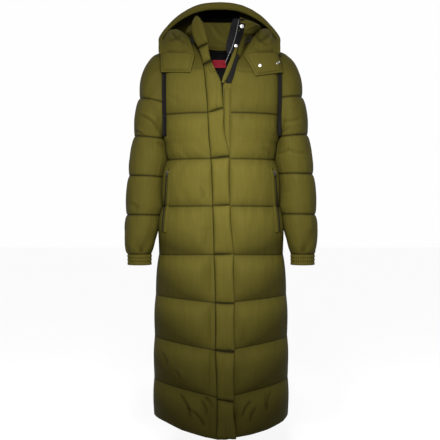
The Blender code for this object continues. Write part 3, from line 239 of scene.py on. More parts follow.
class Graph:
    """A material's shader, built node by node."""

    def __init__(self, name: str) -> None:
        """Start a material that holds one Principled BSDF."""
        self.material = bpy.data.materials.new(name)
        self.material.use_nodes = True
        self.tree = self.material.node_tree
        self.shader = self.tree.nodes["Principled BSDF"]

    def node(self, kind: str, settings: Optional[dict] = None, inputs: Optional[dict] = None,
             output: Union[int, str] = 0) -> Value:
        """Add a node.

        Args:
            kind: the node's type.
            settings: its settings; "stops" holds a ramp's places and colours.
            inputs: values or links by socket name or number.
            output: which output is wanted.

        Returns:
            That output.
        """
        made = self.tree.nodes.new(kind)
        for key, setting in (settings or {}).items():
            if key == "stops":
                self._fill_ramp(made, setting)
            else:
                setattr(made, key, setting)
        for key, term in (inputs or {}).items():
            self.feed(made.inputs[key], term)
        return Value(self, made.outputs[output])

    @staticmethod
    def _fill_ramp(ramp: bpy.types.Node, stops: Sequence[tuple]) -> None:
        """Give a colour ramp its stops."""
        while len(ramp.color_ramp.elements) < len(stops):
            ramp.color_ramp.elements.new(0.5)
        for element, (place, colour) in zip(ramp.color_ramp.elements, stops):
            element.position = place
            element.color = (*colour, 1.0)

    def feed(self, socket: bpy.types.NodeSocket, term: Term) -> None:
        """Link a value to a socket, or set the socket's own number or colour."""
        if isinstance(term, Value):
            self.tree.links.new(term.socket, socket)
        elif isinstance(term, tuple) and len(term) == 3 and socket.type == "RGBA":
            socket.default_value = (*term, 1.0)
        else:
            socket.default_value = term

    def set(self, **inputs: Term) -> None:
        """Set or link inputs of the Principled BSDF; underscores stand for spaces."""
        for key, term in inputs.items():
            self.feed(self.shader.inputs[key.replace("_", " ")], term)

    def coordinates(self) -> Value:
        """Places in the coat's own frame."""
        return self.node("ShaderNodeTexCoord", output="Object")

    def cut(self) -> Value:
        """Places on the cut cloth: metres across and along it."""
        return self.node("ShaderNodeUVMap", {"uv_map": "cut"})

    def noise(self, scale: float, detail: float = 2.0, roughness: float = 0.5,
              distortion: float = 0.0, where: Optional[Value] = None) -> Value:
        """Noise between 0 and 1."""
        return self.node("ShaderNodeTexNoise", None, {"Vector": where or self.coordinates(),
            "Scale": scale, "Detail": detail, "Roughness": roughness, "Distortion": distortion})

    def threads(self, direction: str, pitch: float) -> Value:
        """Parallel threads of the cloth.

        Args:
            direction: X or Y on the cut cloth.
            pitch: distance from thread to thread in metres.
        """
        turns = 2 * math.pi / (20 * pitch)
        return self.node("ShaderNodeTexWave", {"bands_direction": direction},
            {"Vector": self.cut(), "Scale": turns, "Distortion": 0.6, "Detail": 1.0,
            "Detail Scale": 2.0})

    def mix(self, share: Term, first: Term, second: Term, blend: str = "MIX") -> Value:
        """Mix two colours."""
        made = self.tree.nodes.new("ShaderNodeMix")
        made.data_type = "RGBA"
        made.blend_type = blend
        self.feed(made.inputs["Factor"], share)
        self.feed(made.inputs[6], first)
        self.feed(made.inputs[7], second)
        return Value(self, made.outputs[2])

    def bump(self, height: Term, distance: float, strength: float = 1.0,
             under: Optional[Value] = None) -> Value:
        """A bump of a given height in metres, over another one or alone."""
        inputs = {"Height": height, "Distance": distance, "Strength": strength}
        if under is not None:
            inputs["Normal"] = under
        return self.node("ShaderNodeBump", None, inputs)

    def attribute(self, name: str) -> Value:
        """A number stored on the mesh's points."""
        return self.node("ShaderNodeAttribute", {"attribute_name": name}, output="Fac")


Colour = tuple[float, float, float]


# ---- Finishes ----

@dataclass(frozen=True)
class ShellCloth:
    """Olive nylon with a fine plain weave, a soft sheen and small wrinkles, darkened by its seam
    mark: stitched seams and painted shade.
    """

    name: str = "olive_nylon"
    colour: Colour = (0.037, 0.0312, 0.005)
    shade: Colour = (0.0228, 0.019, 0.003)
    thread: float = 0.0005

    def build(self) -> Material:
        """Make the material."""
        graph = Graph(self.name)
        patches = graph.noise(5.0, 3.0)
        streaks = graph.noise(1.0, 3.0, 0.6, where=graph.node("ShaderNodeVectorMath",
            {"operation": "MULTIPLY"}, {0: graph.cut(), 1: (150.0, 9.0, 1.0)}))
        weave = graph.threads("X", self.thread) * 0.5 + graph.threads("Y", self.thread) * 0.5
        # the seam mark: dark stitched seams and painted shade in folds, creases, under the collar
        # and on inner sides
        seam = graph.attribute("seam")
        tone = graph.mix(patches * 0.35 + streaks * 0.65, self.shade, self.colour)
        worn = graph.mix(weave * 0.16, tone, (0.052, 0.044, 0.0096))
        shaded = graph.mix(seam * 0.8, worn, (0.0075, 0.0062, 0.001))
        # near-black where the mark passes 0.8: the stitched seam lines and the deepest painted
        # shade in creases
        stitched = graph.mix((seam - 0.8) * 5.0, shaded, (0.003, 0.0026, 0.0006))
        crumple = graph.noise(55.0, 4.0, 0.6, 0.4)
        folds = graph.noise(1.0, 2.0, 0.5, where=graph.node("ShaderNodeVectorMath",
            {"operation": "MULTIPLY"}, {0: graph.cut(), 1: (44.0, 10.0, 1.0)}))
        creases = graph.bump(crumple, 0.0016, 0.35, graph.bump(folds, 0.005, 0.5))
        graph.set(Base_Color=stitched, Roughness=0.58 + 0.16 * graph.noise(18.0, 3.0),
            Normal=graph.bump(weave, 0.00012, 0.55, creases), Sheen_Weight=0.003,
            Sheen_Roughness=0.45, Specular_IOR_Level=0.04)
        graph.shader.inputs["Sheen Tint"].default_value = (0.62, 0.58, 0.24, 1.0)
        graph.shader.inputs["Specular Tint"].default_value = (0.9, 0.8, 0.42, 1.0)
        return graph.material


@dataclass(frozen=True)
class Lining:
    """Smooth black lining."""

    name: str = "black_lining"
    colour: Colour = (0.0018, 0.0017, 0.0018)

    def build(self) -> Material:
        """Make the material."""
        graph = Graph(self.name)
        tone = graph.mix(graph.noise(30.0, 3.0), self.colour, (0.0034, 0.0032, 0.0032))
        ripples = graph.bump(graph.noise(38.0, 3.0, 0.55, 0.8), 0.0012, 0.35)
        graph.set(Base_Color=tone, Roughness=0.55 + 0.14 * graph.noise(60.0), Normal=ripples,
                  Specular_IOR_Level=0.03)
        return graph.material


@dataclass(frozen=True)
class Tape:
    """Ribbed black zip tape."""

    name: str = "black_tape"
    colour: Colour = (0.0028, 0.0025, 0.0022)
    rib: float = 0.0009

    def build(self) -> Material:
        """Make the material."""
        graph = Graph(self.name)
        ribs = graph.threads("X", self.rib)
        tone = graph.mix(ribs * 0.6 + graph.noise(90.0) * 0.3, self.colour,
            (0.005, 0.0045, 0.0038))
        graph.set(Base_Color=tone, Roughness=0.62 + 0.2 * graph.noise(240.0),
                  Normal=graph.bump(ribs, 0.0002, 0.7), Specular_IOR_Level=0.03)
        return graph.material


@dataclass(frozen=True)
class Metal:
    """Cast metal, plated or enamelled."""

    name: str
    colour: Colour
    rubbed: Colour
    roughness: float
    metallic: float

    def build(self) -> Material:
        """Make the material."""
        graph = Graph(self.name)
        rub = graph.noise(320.0, 3.0, 0.6)
        tone = graph.mix(rub * 0.7, self.colour, self.rubbed)
        graph.set(Base_Color=tone, Metallic=self.metallic,
            Roughness=self.roughness + 0.12 * graph.noise(500.0, 2.0),
            Normal=graph.bump(graph.noise(700.0, 2.0), 0.00005, 0.5))
        return graph.material


@dataclass(frozen=True)
class Label:
    """Plain woven label: a red band on black."""

    name: str = "woven_label"
    colour: Colour = (0.12, 0.0035, 0.009)

    def build(self) -> Material:
        """Make the material."""
        graph = Graph(self.name)
        threads = graph.threads("X", 0.0007)
        tone = graph.mix(threads * 0.4 + graph.noise(120.0) * 0.3, self.colour,
            (0.17, 0.008, 0.014))
        graph.set(Base_Color=tone, Roughness=0.55 + 0.2 * graph.noise(200.0),
                  Normal=graph.bump(threads, 0.00015, 0.7), Specular_IOR_Level=0.15)
        return graph.material


class Finish(Enum):
    """The coat's finishes and the record's slot of each."""

    SHELL = ("shell_cloth", ShellCloth())
    LINING = ("lining_cloth", Lining())
    TAPE = ("zip_tape", Tape())
    DARK = ("dark_metal",
        Metal("dark_enamel", (0.014, 0.013, 0.012), (0.03, 0.028, 0.026), 0.42, 0.55))
    COIL = ("zip_tape", Metal("grey_coil", (0.04, 0.039, 0.038), (0.085, 0.083, 0.08), 0.38, 0.5))
    SNAP = ("snap_metal", Metal("nickel", (0.42, 0.42, 0.41), (0.6, 0.59, 0.57), 0.26, 1.0))
    LABEL = ("label_cloth", Label())

    @property
    def slot(self) -> str:
        """The record's material slot."""
        return self.value[0]


BOTH_SHELL, BOTH_TAPE, BOTH_LINING, BOTH_LABEL = (
    (finish, finish) for finish in (Finish.SHELL, Finish.TAPE, Finish.LINING, Finish.LABEL))


class Wardrobe:
    """Makes each finish's material once."""

    made: ClassVar[dict[Finish, Material]] = {}

    @classmethod
    def material(cls, finish: Finish) -> Material:
        """Return a finish's material."""
        if finish not in cls.made:
            cls.made[finish] = finish.value[1].build()
        return cls.made[finish]


# ---- Meshes ----


class Piece:
    """Turns grids and bmeshes into finished pieces that ride on the coat."""

    @staticmethod
    def finish(name: str, mesh: Mesh, looks: Sequence[Finish],
               replaced: Sequence[str] = (), body: str = BODY) -> bpy.types.Object:
        """Shade a mesh, dress it, hang it on the body that carries it and hide the frame's nodes
        that it stands for.

        Args:
            name: the piece's name.
            mesh: its mesh in the coat's frame.
            looks: a finish for each material index.
            replaced: the frame's nodes that it stands for.
            body: the body that carries it.

        Returns:
            The piece's object.
        """
        mesh.shade_smooth()
        for look in looks:
            mesh.materials.append(Wardrobe.material(look))
        piece = bpy.data.objects.new(name, mesh)
        bpy.context.scene.collection.objects.link(piece)
        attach(piece, body)
        if replaced:
            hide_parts(*replaced)
        LOG.info("%s: %d faces", name, len(mesh.polygons))
        return piece

    @staticmethod
    def border(rows: int, columns: int, is_closed: bool) -> list[tuple[Array, Array]]:
        """Rows and columns of the points round a grid's open edges, loop by loop."""
        across = np.arange(columns)
        if is_closed:
            return [(np.full(columns, row), across) for row in (0, rows - 1)]
        up = np.arange(1, rows - 1)
        row_ids = np.concatenate([np.zeros(columns, int), up, np.full(columns, rows - 1),
            up[::-1]])
        column_ids = np.concatenate([across, np.full(rows - 2, columns - 1), across[::-1],
            np.zeros(rows - 2, int)])
        return [(row_ids, column_ids)]

    @classmethod
    def shell(cls, name: str, inner: Array, outer: Array, is_closed: bool = False,
              seam: Optional[Array] = None, shade: Optional[Array] = None) -> Mesh:
        """Make a closed shell with rounded edges between two grids of points.

        Args:
            name: the mesh's name.
            inner: points of its inner side by row and column.
            outer: points of its outer side.
            is_closed: its columns run round a tube.
            seam: how dark each outer point is painted, from 0 to 1: stitched seams and painted
                shade.
            shade: how deep in shade each inner point lies, from 0 to 1.

        Returns:
            The mesh; its outer side and edges have material index 0 and its inner side 1.
        """
        rows, columns = inner.shape[:2]
        count = rows * columns
        row_ids, column_ids = np.meshgrid(np.arange(rows - 1), np.arange(columns if is_closed
            else columns - 1), indexing="ij")
        after = (column_ids + 1) % columns
        corners = np.stack([row_ids * columns + column_ids, row_ids * columns + after,
            (row_ids + 1) * columns + after, (row_ids + 1) * columns + column_ids],
            axis=-1).reshape(-1, 4)
        middle = (inner + outer) / 2
        points = [outer.reshape(-1, 3), inner.reshape(-1, 3)]
        faces = [corners, corners[:, ::-1] + count]
        sides = [np.zeros(len(corners), int), np.ones(len(corners), int)]
        next_id = 2 * count
        for loop_rows, loop_columns in cls.border(rows, columns, is_closed):
            inside_rows = np.clip(loop_rows, 1, rows - 2)
            inside_columns = loop_columns if is_closed else np.clip(loop_columns, 1, columns - 2)
            edge = middle[loop_rows, loop_columns]
            away = unit(edge - middle[inside_rows, inside_columns])
            wall = outer[loop_rows, loop_columns] - inner[loop_rows, loop_columns]
            wall = np.linalg.norm(wall, axis=-1, keepdims=True)
            points.append(edge + away * np.minimum(wall * 0.35, GAP * 3))
            ring = loop_rows * columns + loop_columns
            middle_ring = next_id + np.arange(len(ring))
            next_id += len(ring)
            following = np.roll(ring, -1)
            middle_following = np.roll(middle_ring, -1)
            faces.append(np.stack([ring, middle_ring, middle_following, following], axis=-1))
            faces.append(np.stack([middle_ring, ring + count, following + count, middle_following],
                axis=-1))
            sides.append(np.zeros(2 * len(ring), int))
        mesh = bpy.data.meshes.new(name)
        mesh.from_pydata(np.concatenate(points).tolist(), [], np.concatenate(faces).tolist())
        mesh.polygons.foreach_set("material_index", np.concatenate(sides).astype(np.int32))
        cls.store_cut(mesh, outer, count, next_id)
        # The seam mark: stitched seams and painted shade outside, painted shade on the inner side.
        if seam is not None:
            values = np.zeros(next_id, np.float32)
            values[:count] = seam.reshape(-1)
            values[count:2 * count] = INNER_SHADE if shade is None else shade.reshape(-1)
            mesh.attributes.new("seam", "FLOAT", "POINT").data.foreach_set("value", values)
        return cls.turned_out(mesh)

    @staticmethod
    def store_cut(mesh: Mesh, outer: Array, count: int, total: int) -> None:
        """Store each point's place on the cut cloth as the mesh's own map."""
        flat = np.zeros((total, 2), np.float32)
        cut = np.stack([lengths_along(outer, 1), lengths_along(outer, 0)], axis=-1)
        flat[:count] = cut.reshape(-1, 2)
        flat[count:2 * count] = cut.reshape(-1, 2)
        corners = np.zeros(len(mesh.loops), np.int32)
        mesh.loops.foreach_get("vertex_index", corners)
        layer = mesh.uv_layers.new(name="cut")
        layer.data.foreach_set("uv", flat[corners].ravel())

    @staticmethod
    def turned_out(mesh: Mesh) -> Mesh:
        """Turn a closed mesh's faces outward."""
        work = bmesh.new()
        work.from_mesh(mesh)
        bmesh.ops.recalc_face_normals(work, faces=work.faces)
        if work.calc_volume(signed=True) < 0:
            bmesh.ops.reverse_faces(work, faces=work.faces)
        work.to_mesh(mesh)
        work.free()
        return mesh

    @classmethod
    def sheet(cls, name: str, inner: Array, outer: Array, looks: Sequence[Finish],
              replaced: Sequence[str], seam: Optional[Array] = None,
              rests_on: Sequence[str] = ()) -> bpy.types.Object:
        """Make a shell that is a sheet of cloth."""
        piece = cls.finish(name, cls.shell(name, inner, outer, False, seam), looks, replaced)
        middle = (inner + outer) / 2
        across = lengths_along(middle, 1)[:, -1].mean()
        along = lengths_along(middle, 0)[-1].mean()
        corner = [middle[:-1, :-1], middle[:-1, 1:], middle[1:, 1:], middle[1:, :-1]]
        area = 0.5 * np.linalg.norm(np.cross(corner[2] - corner[0], corner[3] - corner[1]),
            axis=-1).sum()
        return piece

    @classmethod
    def pad(cls, name: str, inner: Array, outer: Array, replaced: Sequence[str],
            looks: Sequence[Finish] = (Finish.SHELL, Finish.LINING), fill: float = 0.7,
            is_closed: bool = False, seam: Optional[Array] = None,
            shade: Optional[Array] = None) -> bpy.types.Object:
        """Make a padded shell."""
        mesh = cls.shell(name, inner, outer, is_closed, seam, shade)
        piece = cls.finish(name, mesh, looks, replaced)
        return piece


# ---- The coat's body: its form and its quilting ----

@dataclass(frozen=True)
class Level:
    """A level section of the coat's body, through its sewn-down cloth."""

    z: float
    half_width: float
    front: float
    back: float


@dataclass(frozen=True)
class Seam:
    """A quilting seam: its height at the side and its fall to the centre front and back."""

    z: float
    fall: float
    back_fall: float


@dataclass
class Form:
    """The coat's form: its level sections, shoulders, neckline and armholes."""

    levels: tuple[Level, ...] = tuple(Level(*row) for row in (
        (-1.16, 0.206, 0.14, 0.13), (-1.01, 0.205, 0.139, 0.131), (-0.87, 0.2035, 0.137, 0.13),
        (-0.735, 0.2005, 0.134, 0.127), (-0.597, 0.19, 0.129, 0.122), (-0.452, 0.18, 0.124, 0.112),
        (-0.31, 0.166, 0.119, 0.101), (-0.262, 0.164, 0.119, 0.102), (-0.235, 0.1705, 0.12, 0.104),
        (-0.172, 0.1705, 0.122, 0.112), (-0.1025, 0.1705, 0.118, 0.118)))
    seams: tuple[Seam, ...] = tuple(Seam(*row) for row in (
        (-1.093, 0.052, 0.012), (-0.978, 0.044, 0.01), (-0.849, 0.034, 0.008),
        (-0.722, 0.018, 0.004), (-0.599, -0.004, 0.0), (-0.452, -0.001, 0.0), (-0.309, 0.0, 0.0),
        (-0.172, -0.001, 0.0)))
    power: float = 2.3              # superellipse of the level sections
    arm_top: float = 0.03
    arm_foot: float = -0.235
    arm_depth: float = 0.083
    arm_x_top: float = 0.1755
    arm_x_foot: float = 0.1705
    neck_x: float = 0.082
    neck_z: float = 0.05
    neck_back_z: float = 0.045
    neck_crown_z: float = 0.07     # height that the shoulder dome would reach over the neck
    collar_x: float = 0.045
    collar_z: float = -0.016
    open_z: float = -0.088          # foot of the open neck
    front_edge_x: float = 0.0062    # a front's edge at the zip
    flat_x: float = 0.03           # half-width of the unpadded strip under the storm flap

    @property
    def arm_level(self) -> float:
        """Height of the armhole's middle."""
        return (self.arm_top + self.arm_foot) / 2

    def level(self, name: str, z: Array) -> Array:
        """Read a size of the level sections at a height."""
        return read_smooth([row.z for row in self.levels], column(self.levels, name), z)

    def arm_x(self, z: Array) -> Array:
        """X of the armhole's plane at a height."""
        along = (z - self.arm_foot) / (self.arm_top - self.arm_foot)
        return self.arm_x_foot + (self.arm_x_top - self.arm_x_foot) * along

    def arm_y(self, z: Array) -> Array:
        """Half-depth of the armhole at a height."""
        height = (self.arm_top - self.arm_foot) / 2
        share = np.clip(1 - ((z - self.arm_level) / height) ** 2, 0.0, 1.0)
        return self.arm_depth * np.sqrt(share)

    def arm_axis(self) -> Array:
        """Direction across the armhole's plane."""
        lean = (self.arm_x_top - self.arm_x_foot) / (self.arm_top - self.arm_foot)
        return unit(np.array([1.0, 0.0, -lean]))

    def section(self, z: Array, share: Array, is_back: bool) -> tuple[Array, Array]:
        """Points of the level sections.

        Args:
            z: heights at or below the armhole's middle.
            share: 0 at the centre line, 1 at the side seam or armhole edge.
            is_back: the back half, or else the front half.

        Returns:
            x and the depth, both positive.
        """
        depth = self.level("back" if is_back else "front", z)
        edge_y = self.arm_y(z)
        turn = np.arccos(np.minimum(1.0, (edge_y / depth) ** (self.power / 2)))
        edge_x = np.where(edge_y > 0, self.arm_x(z), self.level("half_width", z))
        half_width = edge_x / np.sin(turn) ** (2 / self.power)
        angle = turn * share
        depth = depth * np.maximum(np.cos(angle), 0.0) ** (2 / self.power)
        return half_width * np.sin(angle) ** (2 / self.power), depth

    def top_z(self, x: Array, is_back: bool) -> Array:
        """Height of a panel's top edge: shoulder seam, neckline and open front edge."""
        along = (x - self.neck_x) / (self.arm_x_top - self.neck_x)
        shoulder = self.neck_z + (self.arm_top - self.neck_z) * along
        if is_back:
            bow = np.cos(0.5 * math.pi * np.minimum(x / self.neck_x, 1.0))
            neckline = self.neck_z + (self.neck_back_z - self.neck_z) * bow
            return np.where(x >= self.neck_x, shoulder, neckline)
        opening = self.open_z + (self.collar_z - self.open_z) * x / self.collar_x
        place = np.clip((x - self.collar_x) / (self.neck_x - self.collar_x), 0.0, 1.0)
        rise = (1 - np.cos(0.5 * math.pi * place)) ** 0.8
        neckline = self.collar_z + (self.neck_z - self.collar_z) * rise
        return np.where(x >= self.neck_x, shoulder, np.where(x <= self.collar_x, opening,
            neckline))

    def dome_z(self, x: Array) -> Array:
        """Height at which the shoulder dome would close over a given x."""
        inside = self.neck_z + (self.neck_crown_z - self.neck_z) * (1 - x / self.neck_x)
        return np.where(x >= self.neck_x, self.top_z(x, False), inside)

    def seam_z(self, index: int, x: Array, is_back: bool) -> Array:
        """Height of a quilting seam at a distance x from the centre line."""
        seam = self.seams[index]
        half_width = float(self.level("half_width", np.array(seam.z)))
        fall = seam.back_fall if is_back else seam.fall
        return seam.z - fall * np.maximum(0.0, 1 - x / half_width)


@dataclass(frozen=True)
class Crease:
    """A crease pressed into a panel, as seen from its outside: from one end to the other."""

    start: Pair
    end: Pair
    depth: float
    width: float


@dataclass
class Quilting:
    """How padded channels swell, pucker and crease."""

    wall: float = 0.0026            # padded wall where it is sewn down
    puff: float = 0.0125            # what a channel adds at its crown
    crown: float = 0.44             # place of the crown; the filling settles a little
    bow: Pair = (2.5, 0.62)  # how round the pillow is across a channel
    pucker_pitch: float = 0.017     # mean distance between puckers along a seam
    pucker_depth: float = 0.0017
    pucker_width: float = 0.0052
    pucker_reach: float = 0.02
    lump: float = 0.0014            # height of the filling's soft lumps
    lump_size: float = 0.06

    def swell(self, place: Array) -> Array:
        """Pillow profile of a channel, 0 at its seams and 1 at its crown."""
        settled = np.where(place < self.crown, 0.5 * place / self.crown,
            0.5 + 0.5 * (place - self.crown) / (1 - self.crown))
        return (1 - np.abs(2 * settled - 1) ** self.bow[0]) ** self.bow[1]

    def puckers(self, along: Array, off_seam: Array, seed: int, loop: float = 0.0) -> Array:
        """Small folds that run away from a seam where its thread gathers the cloth.

        Args:
            along: distance along the seam.
            off_seam: distance from the seam.
            seed: which seam this is.
            loop: length of a seam that runs round a tube.

        Returns:
            How far each point is pressed in, or lifted if negative.
        """
        draw = np.random.default_rng(seed)
        start, end = float(along.min()), float(along.max())
        count = max(2, round((end - start) / self.pucker_pitch))
        total = np.zeros_like(along)
        near = off_seam < 4 * self.pucker_reach
        s, d = along[near], off_seam[near]
        pressed = np.zeros_like(s)
        for number in range(count):
            place = start + (end - start) * (number + draw.uniform(0.1, 0.9)) / count
            size = draw.lognormal(-0.15, 0.45)
            slant = draw.normal(0.0, 0.35)
            width = self.pucker_width * (0.6 + 0.6 * size)
            reach = self.pucker_reach * draw.uniform(0.45, 1.5) * size
            off = s - place - slant * d
            if loop:
                off = (off + loop / 2) % loop - loop / 2
            side = off / (width * (1 + 0.6 * d / self.pucker_reach))
            fade = (1 - np.exp(-d / 0.0035)) * np.exp(-d / reach)
            pressed += size * (np.exp(-side ** 2) - 0.45 * np.exp(-(side / 2.1) ** 2)) * fade
        total[near] = pressed * self.pucker_depth
        return total

    def lumps(self, along: Array, up: Array, seed: int) -> Array:
        """Soft lumps of the filling."""
        size = self.lump_size
        broad = cloudy(along / size, up / (1.7 * size), seed)
        small = cloudy(along / (0.42 * size) + 7, up / (0.6 * size) + 3, seed + 1)
        return self.lump * (0.75 * broad + 0.35 * small)

    @staticmethod
    def crease(first: Array, second: Array, crease: Crease) -> Array:
        """How far a crease presses points in.

        Args:
            first: the points' first flat coordinate.
            second: their second.
            crease: the crease in the same coordinates.
        """
        start = np.array(crease.start)
        run = np.array(crease.end) - start
        length = float(np.hypot(*run))
        along = ((first - start[0]) * run[0] + (second - start[1]) * run[1]) / length ** 2
        bow = 0.1 * length * np.sin(math.pi * np.clip(along, 0, 1))
        off = ((first - start[0]) * run[1] - (second - start[1]) * run[0]) / length - bow
        ends = np.exp(-(np.maximum(np.abs(along - 0.5) - 0.32, 0) / 0.16) ** 2)
        trough = np.exp(-(off / crease.width) ** 2)
        ridge = 0.45 * np.exp(-((off - 1.9 * crease.width) / (1.2 * crease.width)) ** 2)
        return crease.depth * ends * (trough - ridge)


@dataclass
class PanelGrid:
    """A padded panel's outer side as a grid, for laying strips on it."""

    points: Array
    shares: Array

    def spot(self, row: float, share: float) -> Array:
        """Point at a row, whole or between two, and a share of the width."""
        low = int(min(max(row, 0), self.points.shape[0] - 2))
        line = self.points[low] + (self.points[low + 1] - self.points[low]) * (row - low)
        return np.array([np.interp(share, self.shares, line[:, axis]) for axis in range(3)])

    def share_at(self, row: float, x: float) -> float:
        """Share of the width at which a row reaches a given x."""
        low = int(min(max(row, 0), self.points.shape[0] - 2))
        line = self.points[low] + (self.points[low + 1] - self.points[low]) * (row - low)
        return float(np.interp(abs(x), line[:, 0], self.shares))

    def row_at(self, share: float, z: float) -> float:
        """Row at which a line up the panel reaches a given height."""
        column = int(np.argmin(np.abs(self.shares - share)))
        return float(np.interp(z, self.points[:, column, 2], np.arange(self.points.shape[0])))

    def at(self, x: float, z: float) -> Array:
        """Point of the outer side at a given x and height."""
        share = 0.3
        for _ in range(4):
            row = self.row_at(share, z)
            share = self.share_at(row, x)
        return self.spot(row, share)


class Row(Enum):
    """Where a row of a body panel lies."""

    CHANNEL = "in a channel between two seams"
    CHEST = "from the top seam to the armhole's middle"
    DOME = "over the shoulder to the top edge"


@dataclass
class BodyPanels:
    """The two fronts and the back."""

    form: Form = field(default_factory=Form)
    quilting: Quilting = field(default_factory=lambda: Quilting(crown=0.6, bow=(2.0, 0.78)))
    fuller: float = 0.75            # how much more the channels below the waist are filled
    fuller_z: Pair = (-0.44, -0.64)
    yoke_shadow_z: Pair = (-0.054, -0.034)  # painted shadow of the collar and the hood fades in over these heights
    side_push: float = 0.25         # share of the filling's sideways push left below the waist
    channel_rows: int = 34
    chest_rows: int = 16
    dome_rows: int = 44
    front_columns: int = 88
    back_columns: int = 72          # on each side of the centre line
    side_share: float = 0.22        # share of the width over which it thins to the side seam
    side_kept: float = 0.32
    arm_kept: float = 0.06
    underarm: Pair = (-0.345, -0.29)
    chest_crown: float = 0.35       # place in the pillow where the chest turns into the shoulder
    edge_taper: float = 0.032
    shoulder_tilt: float = 0.2
    creases: dict[str, tuple[Crease, ...]] = field(default_factory=lambda: {
        "front_right": (
            Crease((0.048, -1.018), (0.019, -1.053), 0.0066, 0.0034),
            Crease((0.059, -1.025), (0.039, -1.072), 0.0058, 0.0036),
            Crease((0.124, -1.008), (0.088, -1.078), 0.0062, 0.0042),
            Crease((0.094, -1.05), (0.046, -1.104), 0.0056, 0.0042),
            Crease((0.176, -0.89), (0.158, -0.934), 0.005, 0.005),
            Crease((0.134, -0.944), (0.122, -0.975), 0.0046, 0.0055),
            Crease((0.15, -0.12), (0.12, -0.15), 0.0012, 0.008),
            Crease((0.096, -0.046), (0.052, -0.042), 0.0034, 0.0032),
            Crease((0.149, -0.34), (0.158, -0.353), 0.005, 0.003),
            Crease((0.06, -0.395), (0.052, -0.432), 0.0018, 0.005)),
        "front_left": (
            Crease((0.09, -1.026), (0.06, -1.074), 0.0064, 0.0036),
            Crease((0.136, -1.006), (0.13, -1.05), 0.0058, 0.0034),
            Crease((0.148, -1.003), (0.134, -1.058), 0.0058, 0.0036),
            Crease((0.103, -1.044), (0.084, -1.088), 0.0056, 0.0042),
            Crease((0.042, -0.043), (0.108, -0.049), 0.0034, 0.0032),
            Crease((0.149, -0.338), (0.156, -0.352), 0.005, 0.003),
            Crease((0.041, -1.06), (0.048, -1.15), 0.006, 0.0036),
            Crease((0.15, -0.3), (0.12, -0.275), 0.0016, 0.007)),
        "back": (
            Crease((0.06, -0.6), (0.03, -0.64), 0.002, 0.006),
            Crease((-0.11, -0.905), (-0.08, -0.95), 0.0022, 0.0055),
            Crease((-0.06, -0.33), (-0.02, -0.3), 0.0016, 0.007),
            Crease((0.12, -1.0), (0.095, -1.05), 0.002, 0.005))})
    hem_drop: dict[str, tuple[Floats, Floats]] = field(
        default_factory=lambda: {
            "front_right": ((0.0, 0.046, 0.084, 0.117, 0.166), (0.002, 0.006, 0.006, 0.006, 0.0)),
            "front_left": ((0.0, 0.05, 0.088, 0.139, 0.187, 0.205),
                           (0.002, 0.0065, 0.0105, 0.012, 0.008, 0.0))})
    grids: dict[str, PanelGrid] = field(default_factory=dict)
    inners: dict[str, Array] = field(default_factory=dict)

    def rows(self) -> list[tuple[Row, int, float]]:
        """Rows of a panel from hem to top: their kind, channel and place in it."""
        rows = []
        for channel in range(len(self.form.seams) - 1):
            for step in range(self.channel_rows):
                share = step / self.channel_rows
                dense = 0.5 - 0.5 * math.cos(math.pi * share)
                rows.append((Row.CHANNEL, channel, 0.45 * share + 0.55 * dense))
        last = len(self.form.seams) - 1
        for step in range(self.chest_rows):
            share = step / self.chest_rows
            rows.append((Row.CHEST, last, share * (0.55 + 0.45 * share)))
        for step in range(self.dome_rows + 1):
            share = step / self.dome_rows
            rows.append((Row.DOME, last, 0.6 * share + 0.4 * math.sin(0.5 * math.pi * share)))
        return rows

    def base(self, is_back: bool, shares: Array) -> tuple[Array, Array, Array]:
        """The +X half of a panel, before it is filled.

        Args:
            is_back: the back, or else a front.
            shares: shares of its width, from the centre line to the side.

        Returns:
            Its inner points, the share of the full padding at each, and its dark seams and painted
            shade.
        """
        form = self.form
        sign = 1 if is_back else -1
        lines = []
        fills = []
        # folds: each row's dark seam lines and painted shade
        folds = []
        for kind, channel, place in self.rows():
            if kind is Row.DOME:
                x, full_y = form.section(np.full_like(shares, form.arm_level), shares, is_back)
                spread = float(form.arm_x(form.arm_top) / form.arm_x(form.arm_level)) - 1
                x = x * (1 + spread * place * shares)
                z = form.arm_level + (form.top_z(x, is_back) - form.arm_level) * math.sin(
                    0.5 * math.pi * place)
                rise = (z - form.arm_level) / (form.dome_z(x) - form.arm_level)
                y = full_y * np.sqrt(np.maximum(0.0, 1 - rise ** 2))
                x[-1] = form.arm_x(z[-1])
                y[-1] = form.arm_y(z[-1])
                crown = self.chest_crown + (1 - self.chest_crown) * place
            else:
                low_x = form.section(np.full_like(shares, form.seams[channel].z), shares,
                    is_back)[0]
                low = form.seam_z(channel, low_x, is_back)
                if kind is Row.CHANNEL:
                    high = form.seam_z(channel + 1, low_x, is_back)
                    crown = place
                else:
                    high = np.full_like(shares, form.arm_level)
                    crown = self.chest_crown * place
                z = low + (high - low) * place
                x, y = form.section(z, shares, is_back)
            lines.append(np.stack([x, sign * y, z], axis=-1))
            fills.append(self.quilting.swell(np.array(crown)) * self.edge_share(x, z, shares,
                is_back))
            folds.append(self.seam_and_shade(crown, shares, z, is_back))
        return np.array(lines), np.array(fills), np.array(folds)

    def reach(self, z: Array) -> Array:
        """How far out the fronts' sides reach at given heights."""
        reaches = []
        for side in ("left", "right"):
            points = self.grids[f"front_{side}"].points
            widest = points[..., 0].argmax(axis=1)
            spots = points[np.arange(len(widest)), widest]
            reaches.append(np.interp(z, spots[:, 2], spots[:, 0]))
        return np.max(reaches, axis=0)

    def edge_share(self, x: Array, z: Array, shares: Array, is_back: bool) -> Array:
        """How much of the padding is left near a panel's edges, from 0 to 1."""
        side = np.minimum(1.0, (1 - shares) / self.side_share)
        side = np.sin(0.5 * math.pi * side)
        least = self.side_kept + (self.arm_kept - self.side_kept) * ease(*self.underarm, z)
        pinch = 1 - 0.55 * np.exp(-((1 - shares) / 0.018) ** 2)
        kept = (least + (1 - least) * side) * pinch
        if is_back:
            return kept
        inner = np.clip((x - self.form.flat_x) / self.edge_taper, 0.0, 1.0)
        return kept * np.sqrt(inner)

